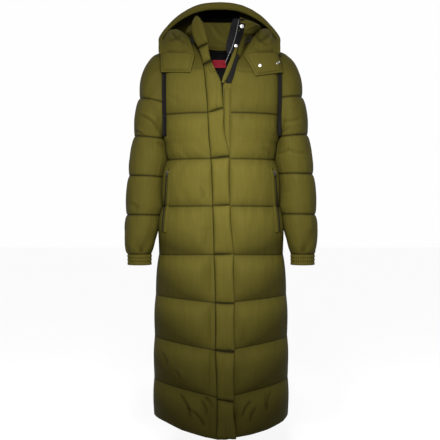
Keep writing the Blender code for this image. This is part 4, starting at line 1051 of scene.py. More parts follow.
    def half(self, is_back: bool, shares: Array) -> tuple[Array, Array, Array, Array]:
        """Inner points, outward normals, fill, and dark seams with painted shade of a panel's +X
        half.
        """
        inner, fill, seam_and_shade = self.base(is_back, shares)
        sign = 1.0 if is_back else -1.0
        normals = grid_normals(inner, False, np.array([0.3, sign, 0.0]))
        axis = self.form.arm_axis()
        flat = normals - (normals @ axis)[..., None] * axis
        below = np.zeros_like(normals)
        below[..., 0] = 1.0
        in_arm = (inner[..., 2] > self.form.arm_foot)[..., None]
        edge = np.where(in_arm, flat, below)
        blend = ease(0.955, 1.0, shares)[None, :, None]
        normals = unit(normals * (1 - blend) + edge * blend)
        up = normals * np.array([self.shoulder_tilt, 0.0, 0.0]) + np.array([0.0, 0.0, 1.0])
        is_shoulder = (inner[-1, :, 0] >= self.form.neck_x - GAP)[None, :, None]
        rows = np.arange(inner.shape[0])[:, None, None]
        close = ease(inner.shape[0] - 6, inner.shape[0] - 1, rows) * is_shoulder
        normals = unit(normals * (1 - close) + unit(up) * close)
        if is_back:
            middle = ease(0.04, 0.0, shares)[None, :]
            normals[..., 0] *= 1 - middle
            normals = unit(normals)
        return inner, normals, fill, seam_and_shade

    def fill_panel(self, name: str, inner: Array, normals: Array, fill: Array,
            seam_and_shade: Array) -> tuple[Array, Array]:
        """Swell a panel's outer side over its inner one, press in its puckers and creases, and
        deepen the painted shade there.
        """
        quilting = self.quilting
        seed = SEED + 100 * len(self.grids)
        along = lengths_along(inner, 1)
        up = lengths_along(inner, 0)
        pressed = np.zeros(fill.shape)
        seam_rows = [number for number, row in enumerate(self.rows()) if row[2] == 0.0
            and row[0] is not Row.DOME]
        for number, row in enumerate(seam_rows):
            distance = np.abs(up - up[row])
            top = seam_rows[number + 1] if number + 1 < len(seam_rows) else inner.shape[0] - 1
            low = seam_rows[number - 1] if number else 0
            pressed[low:top] += quilting.puckers(along[low:top], distance[low:top], seed + number)
        for crease in self.creases[name]:
            x = inner[..., 0] if name == "back" else np.abs(inner[..., 0])
            pressed += quilting.crease(x, inner[..., 2], crease)
        room = np.clip(fill * 2.2, 0.0, 1.0)
        puff = quilting.puff * (1 + self.fuller * fill * ease(*self.fuller_z, inner[..., 2]))
        lift = fill * puff + room * (quilting.lumps(along, up, seed + 50) - pressed)
        full = ease(*self.fuller_z, inner[..., 2])
        push = normals * quilting.wall + normals * np.maximum(lift, -0.0006)[..., None] * np.stack(
            [1 - (1 - self.side_push) * full, np.ones_like(full), np.ones_like(full)], axis=-1)
        # painted shade deepened where puckers and creases press the cloth in
        seam_and_shade = np.clip(np.maximum(seam_and_shade, seam_and_shade * 0.6 + pressed / 0.01), 0.0, 1.0)
        return inner + push, seam_and_shade

    def seam_and_shade(self, place: float, shares: Array, z: Array, is_back: bool) -> Array:
        """How dark points are painted, from 0 to 1: dark seam lines, and painted shade beside the
        seams, on the yoke and low on the channels below the waist.

        Args:
            place: their place in the channel, 0 at its lower seam and 1 at its upper one.
            shares: shares of the panel's width.
            z: their heights.
            is_back: the back, or else a front.
        """
        near = min(place, 1 - place)
        aside = np.sin(0.5 * math.pi * shares) ** 1.6
        # painted shade: channels below the waist darker towards their lower seam and their sides,
        # as if lit from above
        under = 2.0 * ease(*self.fuller_z, z) * (1 - place) ** 1.3 * (0.06 + 0.94 * aside)
        if not is_back:
            # painted shadow of the collar and the hood on the fronts' yoke
            under = under + 0.45 * ease(*self.yoke_shadow_z, z)
        # painted shade fading out over the channel from each seam
        beside = 0.3 * math.exp(-(near / 0.13) ** 2)
        return np.maximum(math.exp(-(near / 0.024) ** 2), np.minimum(beside + under, 0.78))

    def build(self) -> None:
        """Make the two fronts and the back."""
        shares = even(self.front_columns)
        front_inner, front_normals, fill, seam_and_shade = self.half(False, shares)
        shift = np.clip(1 - front_inner[..., 0] / self.form.flat_x, 0.0, 1.0)
        shift = shift * self.form.front_edge_x
        above_hem = np.array([max(0.0, 1 - row[1] - row[2]) for row in self.rows()])[:, None]
        for side, turn in FLIPS.items():
            name = f"front_{side}"
            inner = front_inner * turn
            # seam: dark seam lines and painted shade for the panel's mesh
            outer, seam = self.fill_panel(name, inner, front_normals * turn, fill, seam_and_shade)
            drop = np.interp(front_inner[..., 0], *self.hem_drop[name]) * above_hem
            for grid in (inner, outer):
                grid[..., 2] -= drop
                grid[..., 0] += shift * turn[0]
                grid[..., 1] = np.minimum(grid[..., 1], -GAP / 2)
            self.grids[name] = PanelGrid(outer * turn, shares)
            self.inners[name] = inner
            Piece.pad(f"{name}_panel", inner, outer, [name], seam=seam)
        shares = even(self.back_columns)
        inner, normals, fill, seam_and_shade = self.half(True, shares)
        parts = []
        for part in (inner, normals):
            parts.append(np.concatenate([(part * FLIPS["right"])[:, :0:-1], part], axis=1))
        fill, seam_and_shade = (np.concatenate([part[:, :0:-1], part], axis=1) for part in (fill, seam_and_shade))
        outer, seam = self.fill_panel("back", parts[0], parts[1], fill, seam_and_shade)
        for grid in (parts[0], outer):
            grid[..., 1] = np.maximum(grid[..., 1], GAP / 2)
        self.grids["back"] = PanelGrid(outer, np.linspace(-1.0, 1.0, outer.shape[1]))
        self.inners["back"] = parts[0]
        Piece.pad("back_panel", parts[0], outer, ["back"], seam=seam)


# ---- Sleeves and cuffs ----

@dataclass(frozen=True)
class Ring:
    """A sleeve ring: its outer and inner points in the XZ plane, and its half-depth."""

    out_x: float
    out_z: float
    in_x: float
    in_z: float
    depth: float


@dataclass
class Sleeves:
    """Two set-in sleeves with gathered cuffs."""

    rings: tuple[Ring, ...] = tuple(Ring(*row) for row in (
        (0.1759, 0.03, 0.1709, -0.235, 0.083), (0.196, 0.0175, 0.1752, -0.2372, 0.0845),
        (0.216, -0.004, 0.1785, -0.24, 0.085), (0.232, -0.035, 0.1812, -0.244, 0.085),
        (0.24, -0.066, 0.183, -0.249, 0.084), (0.245, -0.106, 0.184, -0.254, 0.0825),
        (0.253, -0.14, 0.1842, -0.26, 0.0805), (0.259, -0.186, 0.1842, -0.268, 0.078),
        (0.263, -0.227, 0.1842, -0.278, 0.0745), (0.269, -0.266, 0.1845, -0.294, 0.0715),
        (0.276, -0.316, 0.1855, -0.327, 0.068), (0.28, -0.354, 0.188, -0.356, 0.0655),
        (0.283, -0.385, 0.1905, -0.386, 0.064), (0.286, -0.44, 0.196, -0.44, 0.062),
        (0.2865, -0.477, 0.2, -0.477, 0.06), (0.287, -0.508, 0.2035, -0.508, 0.0585),
        (0.287, -0.56, 0.21, -0.56, 0.053), (0.285, -0.598, 0.22, -0.598, 0.041)))
    seam_lines: dict[str, tuple[Pair, ...]] = field(default_factory=lambda: {
        "right": ((-0.1187, -0.1336), (-0.2363, -0.243), (-0.3575, -0.3593), (-0.4769, -0.4769)),
        "left": ((-0.1144, -0.1209), (-0.2317, -0.2378), (-0.3511, -0.349), (-0.4748, -0.4726))})
    seam_x: Pair = (0.245, 0.18)    # where the seams' heights are given
    ends_z: Pair = (0.034, -0.598)
    samples: int = 480
    sliver: float = 0.0006          # least spacing of rows that end at the armhole
    arm_ramp: float = 0.06
    girth: float = 0.062
    rest: float = 0.018             # how far the inner side may move in to rest on the body
    rest_z: Floats = (-0.24, -0.262, -0.495, -0.56)
    channel_rows: int = 30
    columns: int = 116
    lean: float = 0.02             # how far forward the wrist hangs
    elbow_z: float = -0.23
    forearm: float = 0.37
    inner_puff: float = 0.24        # puff of the body's side as a share of the outer side's
    quilting: Quilting = field(default_factory=lambda: Quilting(wall=0.004, puff=0.0072,
        pucker_depth=0.0018, pucker_reach=0.019, lump=0.0018, lump_size=0.05))
    cuff_rings: tuple[Pair, ...] = ((-0.5984, 1.0), (-0.615, 0.99), (-0.631, 0.975))
    cuff_wall: float = 0.0045
    cuff_pleats: int = 34
    cuff_rows: int = 16
    cuff_columns: int = 204
    creases: dict[str, tuple[Crease, ...]] = field(default_factory=lambda: {
        "right": (Crease((0.24, -0.172), (0.193, -0.221), 0.0034, 0.0042),
                  Crease((0.262, -0.218), (0.234, -0.236), 0.0028, 0.004),
                  Crease((0.199, -0.254), (0.18, -0.272), 0.0026, 0.0045),
                  Crease((0.275, -0.44), (0.248, -0.462), 0.0016, 0.0055)),
        "left": (Crease((0.188, -0.192), (0.234, -0.184), 0.0026, 0.0048),
                 Crease((0.18, -0.226), (0.208, -0.213), 0.0024, 0.0046),
                 Crease((0.178, -0.288), (0.209, -0.278), 0.003, 0.0042),
                 Crease((0.205, -0.278), (0.252, -0.289), 0.0024, 0.0042),
                 Crease((0.195, -0.408), (0.212, -0.399), 0.0016, 0.005))})

    def levels(self) -> Array:
        """Levels of the fine rows: whole numbers at the seams, counted from the shoulder."""
        levels = []
        for channel in range(len(self.seam_lines["left"]) + 1):
            for step in range(self.channel_rows):
                share = step / self.channel_rows
                eased = 0.5 - 0.5 * math.cos(math.pi * share)
                levels.append(channel + 0.45 * share + 0.55 * eased)
        return np.array([*levels, len(self.seam_lines["left"]) + 1.0])

    def seam_heights(self, x: Array, side: str) -> Array:
        """Heights of the shoulder, the seams across the sleeve and the wrist at each x."""
        share = (x - self.seam_x[0]) / (self.seam_x[1] - self.seam_x[0])
        lines = [out + (within - out) * share for out, within in self.seam_lines[side]]
        return np.array([np.full_like(x, self.ends_z[0]), *lines, np.full_like(x, self.ends_z[1])])

    def rested(self, x: Array, z: Array, reach: Array, room: float) -> Array:
        """Move the inner side's x in until it rests on the body, `room` clear of it."""
        low, high = ease(*self.rest_z[:2], z), ease(*self.rest_z[2:], z)
        share = low * (1 - high)
        return x + share * (np.maximum(x - self.rest, reach + room) - x)

    def form(self, reach: Callable[[Array], Array]) -> tuple[Array, Array, Array]:
        """Even grid of a sleeve's inner side, its normals, and how far each column faces out."""
        numbers = np.linspace(0, len(self.rings) - 1, self.samples)
        count = range(len(self.rings))
        size = {name: read_smooth(count, column(self.rings, name), numbers)
                for name in ("out_x", "out_z", "in_x", "in_z", "depth")}
        size["in_x"] = self.rested(size["in_x"], size["in_z"], reach(size["in_z"]),
            self.quilting.wall - 0.001)
        angle = math.pi + 2 * math.pi * np.arange(self.columns) / self.columns
        cos, sin = np.cos(angle), np.sin(angle)
        x, z = ((((size[f"out_{axis}"] + size[f"in_{axis}"])[:, None]
            + (size[f"out_{axis}"] - size[f"in_{axis}"])[:, None] * cos) / 2) for axis in "xz")
        lean = self.lean * np.maximum(0.0, (self.elbow_z - size["out_z"]) / self.forearm)
        y = size["depth"][:, None] * sin - lean[:, None]
        inner = np.stack([x, y, z], axis=-1)
        normals = grid_normals(inner, True, inner - inner.mean(axis=1, keepdims=True))
        axis = Form().arm_axis()
        flat = unit(normals - (normals @ axis)[..., None] * axis)
        start = (1 - ease(0.0, 0.8, numbers))[:, None, None]
        normals = unit(normals * (1 - start) + flat * start)
        end = ease(numbers[-1] - 0.7, numbers[-1], numbers)[:, None]
        normals[..., 2] *= 1 - end
        return inner, unit(normals), 0.5 + 0.5 * cos

    def grids(self, side: str, reach: Callable[[Array], Array]) -> tuple[Array, Array, Array]:
        """Inner and outer grids of a sleeve, and its dark seam lines with painted shade.

        Args:
            side: the wearer's side, "left" or "right".
            reach: how far out the body reaches at given heights.
        """
        inner, normals, outward = self.form(reach)
        heights = self.seam_heights(inner[..., 0], side)
        level = np.clip((heights[:-1] - inner[..., 2]) / (heights[:-1] - heights[1:]), 0, 1)
        level = np.maximum.accumulate(level.sum(axis=0), axis=0)
        level = level + 1e-7 * np.arange(self.samples)[:, None]
        rows = self.levels()
        wanted = np.maximum(rows[:, None], level[:1] + self.sliver * np.arange(len(rows))[:, None])
        wanted[-1] = level[-1]
        columns = np.arange(self.columns)
        at = np.stack([np.interp(wanted[:, column], level[:, column],
            np.arange(self.samples)) for column in columns], axis=1)
        low = np.minimum(at.astype(int), self.samples - 2)
        part = (at - low)[..., None]
        inner = inner[low, columns] * (1 - part) + inner[low + 1, columns] * part
        normals = unit(normals[low, columns] * (1 - part) + normals[low + 1, columns] * part)
        from_arm = lengths_along(inner, 0)
        ramp = np.sin(0.5 * math.pi * np.minimum(1.0, from_arm / self.arm_ramp))
        fill = self.quilting.swell(wanted % 1.0) * ramp * (
            self.inner_puff + (1 - self.inner_puff) * outward[None, :])
        height = inner[..., 2]
        off = np.abs(height - self.seam_heights(inner[..., 0], side))[1:]
        middle = np.interp(height, (self.ends_z[1], -0.12, 0.03), (0.2525, 0.212, 0.2))
        hang = self.lean * np.maximum(0.0, (self.elbow_z - height) / self.forearm)
        around = self.girth * (np.arctan2(inner[..., 1] + hang, inner[..., 0] - middle) + math.pi)
        loop = 2 * math.pi * self.girth
        seed = SEED + (500 if side == "left" else 700)
        pressed = 0.8 * self.quilting.puckers(lengths_along(inner, 1), from_arm, seed + 40)
        for number, off_seam in enumerate(off):
            pucker = self.quilting.puckers(around, off_seam, seed + number, loop)
            pressed += pucker * (2.4 if number == len(off) - 1 else 1.0)
        shown = inner[..., 1] < -0.2 * inner[..., 1].max()
        for crease in self.creases[side]:
            pressed += self.quilting.crease(inner[..., 0], height, crease) * shown
        wrap = ease(0.0, 0.02, np.minimum(around, loop - around))
        lumps = self.quilting.lumps(around, -height, seed + 50) * wrap
        room = np.clip(fill * 2.0, 0.0, 1.0)
        lift = fill * self.quilting.puff + room * (lumps - pressed)
        outer = inner + normals * (self.quilting.wall + np.maximum(lift, -0.0006))[..., None]
        rests = ease(*self.rest_z[:2], height) * (outward[None, :] < 0.5)
        least = reach(outer[..., 2]) - 0.0016
        outer[..., 0] += rests * np.maximum(0.0, least - outer[..., 0])
        inner[..., 0] += rests * np.maximum(0.0, least + 0.0022 - inner[..., 0])
        near = np.minimum(off.min(axis=0), from_arm)
        # dark seam lines, with a little painted shade everywhere and more in the puckers and
        # creases
        seam_and_shade = np.maximum(np.exp(-(near / 0.0042) ** 2), 0.1 + pressed / 0.008)
        return inner, outer, np.clip(seam_and_shade, 0.0, 1.0)

    def cuff_grids(self, inner: Array, side: str) -> tuple[Array, Array, Array]:
        """Inner and outer grids of a cuff below the sleeve's last ring."""
        last = inner[-1]
        middle = last.mean(axis=0)
        turns = np.linspace(0, len(last), self.cuff_columns, endpoint=False)
        ring = np.stack([np.interp(turns, np.arange(len(last) + 1),
            np.append(last[:, axis], last[0, axis])) for axis in range(3)], axis=-1)
        heights = even(self.cuff_rows)
        z = np.interp(heights, (0.0, 0.5, 1.0), [row[0] for row in self.cuff_rings])
        reach = np.interp(heights, (0.0, 0.5, 1.0), [row[1] for row in self.cuff_rings])
        grid = middle + (ring - middle)[None] * reach[:, None, None]
        grid[..., 2] = z[:, None]
        away = grid - np.array([middle[0], middle[1], 0.0])
        away[..., 2] = 0.0
        away = unit(away)
        draw = np.random.default_rng(SEED + (900 if side == "left" else 950))
        phase = np.linspace(0, 2 * math.pi * self.cuff_pleats, self.cuff_columns, endpoint=False)
        phase = phase + 0.9 * np.sin(phase / self.cuff_pleats * 5 + draw.uniform(0, 6))
        depth = 1 + 0.35 * np.sin(phase / self.cuff_pleats * 9 + draw.uniform(0, 6))
        stitched = sum(np.exp(-((heights - place) / 0.045) ** 2) for place in (0.02, 0.36, 0.68))
        bulge = 0.0011 * np.clip(1 - stitched, 0.0, 1.0) - 0.0006 * stitched
        pleats = 0.00085 * depth * np.sin(phase)
        lift = self.cuff_wall - 0.0008 + bulge[:, None] + pleats[None,
            :] * (1 - 0.35 * stitched[:, None])
        return grid, grid + away * lift[..., None], np.repeat(stitched[:, None], self.cuff_columns,
            axis=1)

    def build(self, panels: BodyPanels) -> dict[str, Array]:
        """Make the sleeves and cuffs, and return the sleeves' outer grids."""
        outers = {}
        for side, flip in FLIPS.items():
            inner, outer, seam_and_shade = self.grids(side, panels.reach)
            Piece.pad(f"sleeve_{side}_quilted", inner * flip, outer * flip, [f"sleeve_{side}"],
                      is_closed=True, seam=seam_and_shade)
            outers[side] = outer * flip
            low, high, stitched = self.cuff_grids(inner, side)
            Piece.pad(f"cuff_{side}_gathered", low * flip, high * flip, [f"cuff_{side}"],
                      BOTH_SHELL, 0.4, True, stitched * 0.5)
        return outers


# ---- Storm flap ----

@dataclass(frozen=True)
class FlapRow:
    """The storm flap's side edges at a height on the fronts."""

    z: float
    stitched_x: float
    free_x: float


@dataclass(frozen=True)
class CollarFlapRow:
    """The storm flap's side edges on the collar's right end."""

    z: float
    stitched: Pair
    free: Pair


@dataclass
class StormFlap:
    """The quilted flap over the zip, from the hem to its tip on the collar."""

    rows: tuple[FlapRow, ...] = tuple(FlapRow(*row) for row in (
        (-1.15, -0.015, 0.044), (-1.03, -0.012, 0.038), (-0.881, -0.0175, 0.0392),
        (-0.741, -0.0175, 0.0392), (-0.597, -0.0215, 0.037), (-0.45, -0.0257, 0.0258),
        (-0.3, -0.0315, 0.0235), (-0.233, -0.038, 0.0125), (-0.171, -0.0405, 0.0075),
        (-0.129, -0.0435, 0.004), (-0.087, -0.0475, 0.0005), (-0.033, -0.0525, -0.0225)))
    collar_rows: tuple[CollarFlapRow, ...] = tuple(CollarFlapRow(*row) for row in (
        (-0.03, (-0.0535, -0.1165), (-0.024, -0.12)),
        (-0.015, (-0.0565, -0.111), (-0.0285, -0.118)),
        (0.004, (-0.0615, -0.105), (-0.032, -0.114)),
        (0.022, (-0.067, -0.1005), (-0.0345, -0.111)),
        (0.034, (-0.0725, -0.098), (-0.036, -0.109)), (0.056, (-0.083, -0.096), (-0.04, -0.109)),
        (0.086, (-0.088, -0.098), (-0.047, -0.112)), (0.106, (-0.084, -0.1), (-0.056, -0.111)),
        (0.118, (-0.074, -0.101), (-0.066, -0.105))))
    collar_z: Floats = (-0.031, -0.022, -0.01, 0.001, 0.013, 0.023, 0.033, 0.05, 0.068, 0.086,
        0.103, 0.118)
    collar_seams: Floats = (-0.09, -0.031, 0.023, 0.122)
    ridge_y: float = -0.1195        # how far forward it lies beside the open neck
    ridge_z: float = -0.12
    bridge: float = 0.034           # how near the fronts' edges it still lies on their padding
    slant_z: Floats = (-1.15, -1.03, -0.88, -0.741, -0.6, -0.45, -0.31, -0.17, 0.05, 0.09, 0.118)
    slant: Floats = (0.004, -0.009, -0.008, -0.004, 0.0, 0.004, 0.006, 0.013, 0.012, 0.006, 0.0)
    sink: Floats = (-0.0045, -0.014, -0.005, -0.005, 0.0, 0.0, 0.0, 0.0, 0.0, 0.0, 0.0)
    tucks: tuple[Crease, ...] = (
        Crease((-0.042, -0.172), (-0.024, -0.164), 0.003, 0.0034),
        Crease((-0.03, -0.308), (-0.008, -0.293), 0.0034, 0.003),
        Crease((-0.058, -0.035), (-0.04, -0.027), 0.0026, 0.0042),
        Crease((-0.068, 0.021), (-0.048, 0.029), 0.003, 0.004))
    join_z: float = -0.061          # where it leaves the front for the collar
    row_step: int = 4               # every so many of the front's rows
    columns: int = 26
    fine: int = 4
    lift: Floats = (0.0008, 0.0036, 0.0055, 0.007)
    lift_places: Floats = (0.0, 0.22, 0.78, 1.0)
    flare: float = 0.008           # its free edge stands off the front near the open neck
    flare_z: Pair = (-0.2, -0.11)
    settle_z: Pair = (-0.09, -0.02)
    wall: float = 0.0036
    puff: float = 0.0092

    def build(self, panels: BodyPanels) -> PanelGrid:
        """Make the flap and return its outer grid."""
        grid = panels.grids["front_right"]
        kinds = panels.rows()
        places = even(self.columns)
        under = []
        fills = []
        seam_rows = [number for number, row in enumerate(kinds) if row[2] == 0.0
            and row[0] is not Row.DOME]
        middle_column = int(np.argmin(np.abs(grid.shares - 0.12)))
        last = int(np.searchsorted(grid.points[:, middle_column, 2], self.join_z))
        picked = sorted(set(range(0, last, self.row_step)) | set(seam_rows) | {last})
        for row in picked:
            z = grid.points[row, middle_column, 2]
            z += float(np.interp(z, self.slant_z, self.sink))
            tilted = z + places * np.interp(z, self.slant_z, self.slant)
            knots = [edge.z for edge in self.rows]
            start_x, end_x = (read_smooth(knots, column(self.rows, name),
                tilted) for name in ("stitched_x", "free_x"))
            line = []
            for x, height in zip(start_x + (end_x - start_x) * places, tilted):
                bridge = self.bridge * (1 - 0.24 * float(ease(-0.26, -0.16, height)))
                right_y, left_y = (panels.grids[f"front_{side}"].at(
                    math.hypot(x, bridge), height)[1] for side in ("right", "left"))
                y = right_y + (left_y - right_y) * float(ease(-0.02, 0.02, x))
                line.append((x, min(y, self.ridge_y) if height > self.ridge_z else y, height))
            under.append(line)
            kind, _, place = kinds[row]
            fills.append(float(panels.quilting.swell(np.array(place))) if kind is Row.CHANNEL
                else float(ease(0.0, 0.12, place)) if kind is Row.CHEST else 1.0)
        knots = [row.z for row in self.collar_rows]
        for z in self.collar_z:
            tilted = z + places * np.interp(z, self.slant_z, self.slant)
            start, end = (np.stack([read_smooth(knots, [getattr(row,
                edge)[axis] for row in self.collar_rows], tilted) for axis in range(2)],
                axis=-1) for edge in ("stitched", "free"))
            flat = start + (end - start) * places[:, None]
            under.append(np.column_stack([flat, tilted]))
            number = int(np.searchsorted(self.collar_seams, z, side="right")) - 1
            low, high = self.collar_seams[number:number + 2]
            fills.append(float(panels.quilting.swell(np.array((z - low) / (high - low)))))
        under = np.array(under)
        heights = under[:, 0, 2]
        rise = ease(*self.flare_z, heights) * (1 - 0.75 * ease(*self.settle_z, heights))
        lift = np.interp(places, self.lift_places, self.lift)[None,
            :] + self.flare * np.outer(rise, places)
        coarse = np.concatenate([under, lift[..., None], np.repeat(np.array(fills)[:, None, None],
            self.columns, axis=1)], axis=-1)
        dense = through(coarse, even((len(under) - 1) * self.fine + 1))
        points, lift, fill = dense[..., :3], dense[..., 3], np.clip(dense[..., 4], 0.0, 1.0)
        normals = grid_normals(points, False, AHEAD)
        inner = points + normals * lift[..., None]
        across = (1 - np.abs(2 * places - 1) ** 3.0) ** 0.55
        edge = np.interp(places, (0.0, 0.08, 0.9, 1.0), (0.0024, self.wall, self.wall, 0.0034))
        along, up = spans(points)
        quilting = Quilting(lump=0.0009, lump_size=0.035, pucker_depth=0.0008, pucker_reach=0.006,
            pucker_pitch=0.012, pucker_width=0.004)
        pressed = np.zeros_like(fill)
        seams = [number * self.fine for number, value in enumerate(fills) if value <= 0.001]
        for number, row in enumerate(seams):
            pressed += quilting.puckers(along, np.abs(up - up[row:row + 1]), SEED + 1100 + number)
        pressed += quilting.puckers(up, along, SEED + 1150) * 0.7
        for tuck in self.tucks:
            pressed += quilting.crease(points[..., 0], points[..., 2], tuck)
        lumps = quilting.lumps(along, up, SEED + 1180)
        thick = edge + across * (self.puff * fill + (lumps - pressed) * np.clip(2 * fill, 0, 1))
        outer = inner + normals * np.maximum(thick, 0.0022)[..., None]
        seam = np.maximum(np.exp(-(fill / 0.25) ** 2), np.exp(-(along / 0.0022) ** 2))
        Piece.pad("storm_flap", inner, outer, ["placket"], BOTH_SHELL, 0.6, seam=seam)
        return PanelGrid(outer, places)


# ---- Welts, tapes and pockets on the body ----

@dataclass(frozen=True)
class Lay:
    """How a strip is laid: gap below it, wall, crown across it and its finishes."""

    lift: float
    wall: float
    crown: float = 0.35
    columns: int = 7
    looks: tuple[Finish, Finish] = BOTH_SHELL


@dataclass
class Trims:
    """Narrow strips sewn on the fronts, and the zipped hand pockets."""

    panels: BodyPanels
    welt: Lay = Lay(0.0006, 0.0026, 0.5, 9)
    tape: Lay = Lay(0.0007, 0.0013, 0.1, 7, BOTH_TAPE)
    under_edges: Pair = (0.0075, 0.029)
    under_top: float = -0.097
    hem_z: float = -1.2
    zip_depth: float = 0.0024
    armhole_x: dict[str, tuple[float, float, float]] = field(default_factory=lambda: {
        "right": (0.1655, 0.17, 0.1785), "left": (0.1735, 0.1705, 0.1835)})
    armhole_slope: float = -0.45    # how it runs over the sleeve's first stitches
    armhole_z: Pair = (-0.236, -0.045)
    pocket_share: float = 0.72
    pocket_z: Pair = (-0.53, -0.351)
    welt_x: tuple[Pair, ...] = ((0.163, 0.174), (0.15, 0.161))
    coil_x: tuple[Pair, ...] = ((0.177, 0.1802), (0.164, 0.1672))

    def lay(self, name: str, side: str, replaced: str, rows: Array, edges: Array, plan: Lay,
            lips: float = 0.0) -> Array:
        """Lay a strip on a front and return its outer points.

        Args:
            name: the piece's name.
            side: the wearer's side, "left" or "right".
            replaced: the node it stands for.
            rows: the front's rows that it follows, whole or between two.
            edges: x of its two edges at each row.
            plan: how it is laid.
            lips: depth of the stitched line along each edge.
        """
        grid = self.panels.grids[f"front_{side}"]
        places = even(plan.columns)
        under = np.array([[grid.spot(row, grid.share_at(row, low + (high - low) * place))
            for place in places] for row, (low, high) in zip(rows, edges)])
        normals = grid_normals(under, False, AHEAD)
        inner = under + normals * plan.lift
        crown = plan.wall * (1 - plan.crown * (2 * places - 1) ** 2)
        stitched = np.exp(-((np.abs(2 * places - 1) - 0.72) / 0.1) ** 2)
        outer = inner + normals * (crown - lips * stitched)[None, :, None]
        flip = FLIPS[side]
        seam = np.repeat(stitched[None, :] * (0.7 if lips else 0.0), len(rows), axis=0)
        Piece.sheet(name, inner * flip, outer * flip, plan.looks, [replaced], seam=seam,
            rests_on=[f"front_{side}_panel"])
        return outer * flip

    def rows(self, side: str, share: float, low: float, high: float, count: int) -> Array:
        """Even rows of a front between two heights along a line up it."""
        grid = self.panels.grids[f"front_{side}"]
        return np.linspace(grid.row_at(share, low), grid.row_at(share, high), count)

    def zip_strips(self) -> None:
        """Lay the welt under the storm flap and the zip's two tapes behind the fronts' edges."""
        rows = self.rows("left", 0.2, self.hem_z, self.under_top, 260)
        edges = np.repeat([self.under_edges], len(rows), axis=0)
        self.lay("zip_welt", "left", "under_placket", rows, edges, self.welt, 0.0009)
        for side in ("left", "right"):
            grid = self.panels.grids[f"front_{side}"]
            line = np.array([grid.spot(row, 0.0) for row in rows[3:]])
            line[:, 1] += self.zip_depth
            across = np.linspace(0.0003, 0.0062, 5)
            back = np.repeat(line[:, None, :], len(across), axis=1)
            back[..., 0] = across
            front = back - np.array([0.0, 0.0012, 0.0])
            flip = FLIPS[side]
            Piece.sheet(f"zip_tape_{side}_woven", back * flip, front * flip, BOTH_TAPE,
                [f"zip_tape_{side}"])

    def armhole_tapes(self) -> None:
        """Lay the tapes on the front armhole seams."""
        for side in ("left", "right"):
            grid = self.panels.grids[f"front_{side}"]
            low, turn, high = self.armhole_x[side]
            under = np.array([[(x, grid.at(min(x, turn), z)[1] + self.armhole_slope * max(0.0,
                x - turn), z) for x in np.linspace(low, high, 11)]
                for z in np.linspace(*self.armhole_z, 70)])
            normals = grid_normals(under, False, AHEAD)
            inner = under + normals * self.tape.lift
            outer = inner + normals * self.tape.wall
            Piece.sheet(f"armhole_tape_{side}_woven", inner * FLIPS[side], outer * FLIPS[side],
                self.tape.looks, [f"armhole_tape_{side}"], rests_on=[f"front_{side}_panel"])

    def pockets(self) -> None:
        """Lay each pocket's welt and the coil of its zip."""
        for side in ("left", "right"):
            rows = self.rows(side, self.pocket_share, *self.pocket_z, 90)
            share = even(len(rows))[:, None]
            welt = np.array(self.welt_x[0]) * (1 - share) + np.array(self.welt_x[1]) * share
            coil = np.array(self.coil_x[0]) * (1 - share) + np.array(self.coil_x[1]) * share
            self.lay(f"pocket_welt_{side}_folded", side, f"pocket_welt_{side}", rows, welt,
                     self.welt, 0.0008)
            self.lay(f"pocket_coil_{side}", side, f"pocket_zip_{side}", rows, coil,
                     Lay(0.0006, 0.0018, 0.8, 5, BOTH_TAPE))

    def build(self) -> None:
        """Lay all the strips."""
        self.zip_strips()
        self.armhole_tapes()
        self.pockets()


# ---- Collar ----

def refined(grid: Array, rows: int, columns: int) -> Array:
    """Points of a grid's smooth surface, each span cut into so many rows and columns."""
    tall = through(grid, even((grid.shape[0] - 1) * rows + 1))
    turned = tall.transpose(1, 0, 2)
    wide = through(turned, even((grid.shape[1] - 1) * columns + 1))
    return wide.transpose(1, 0, 2)


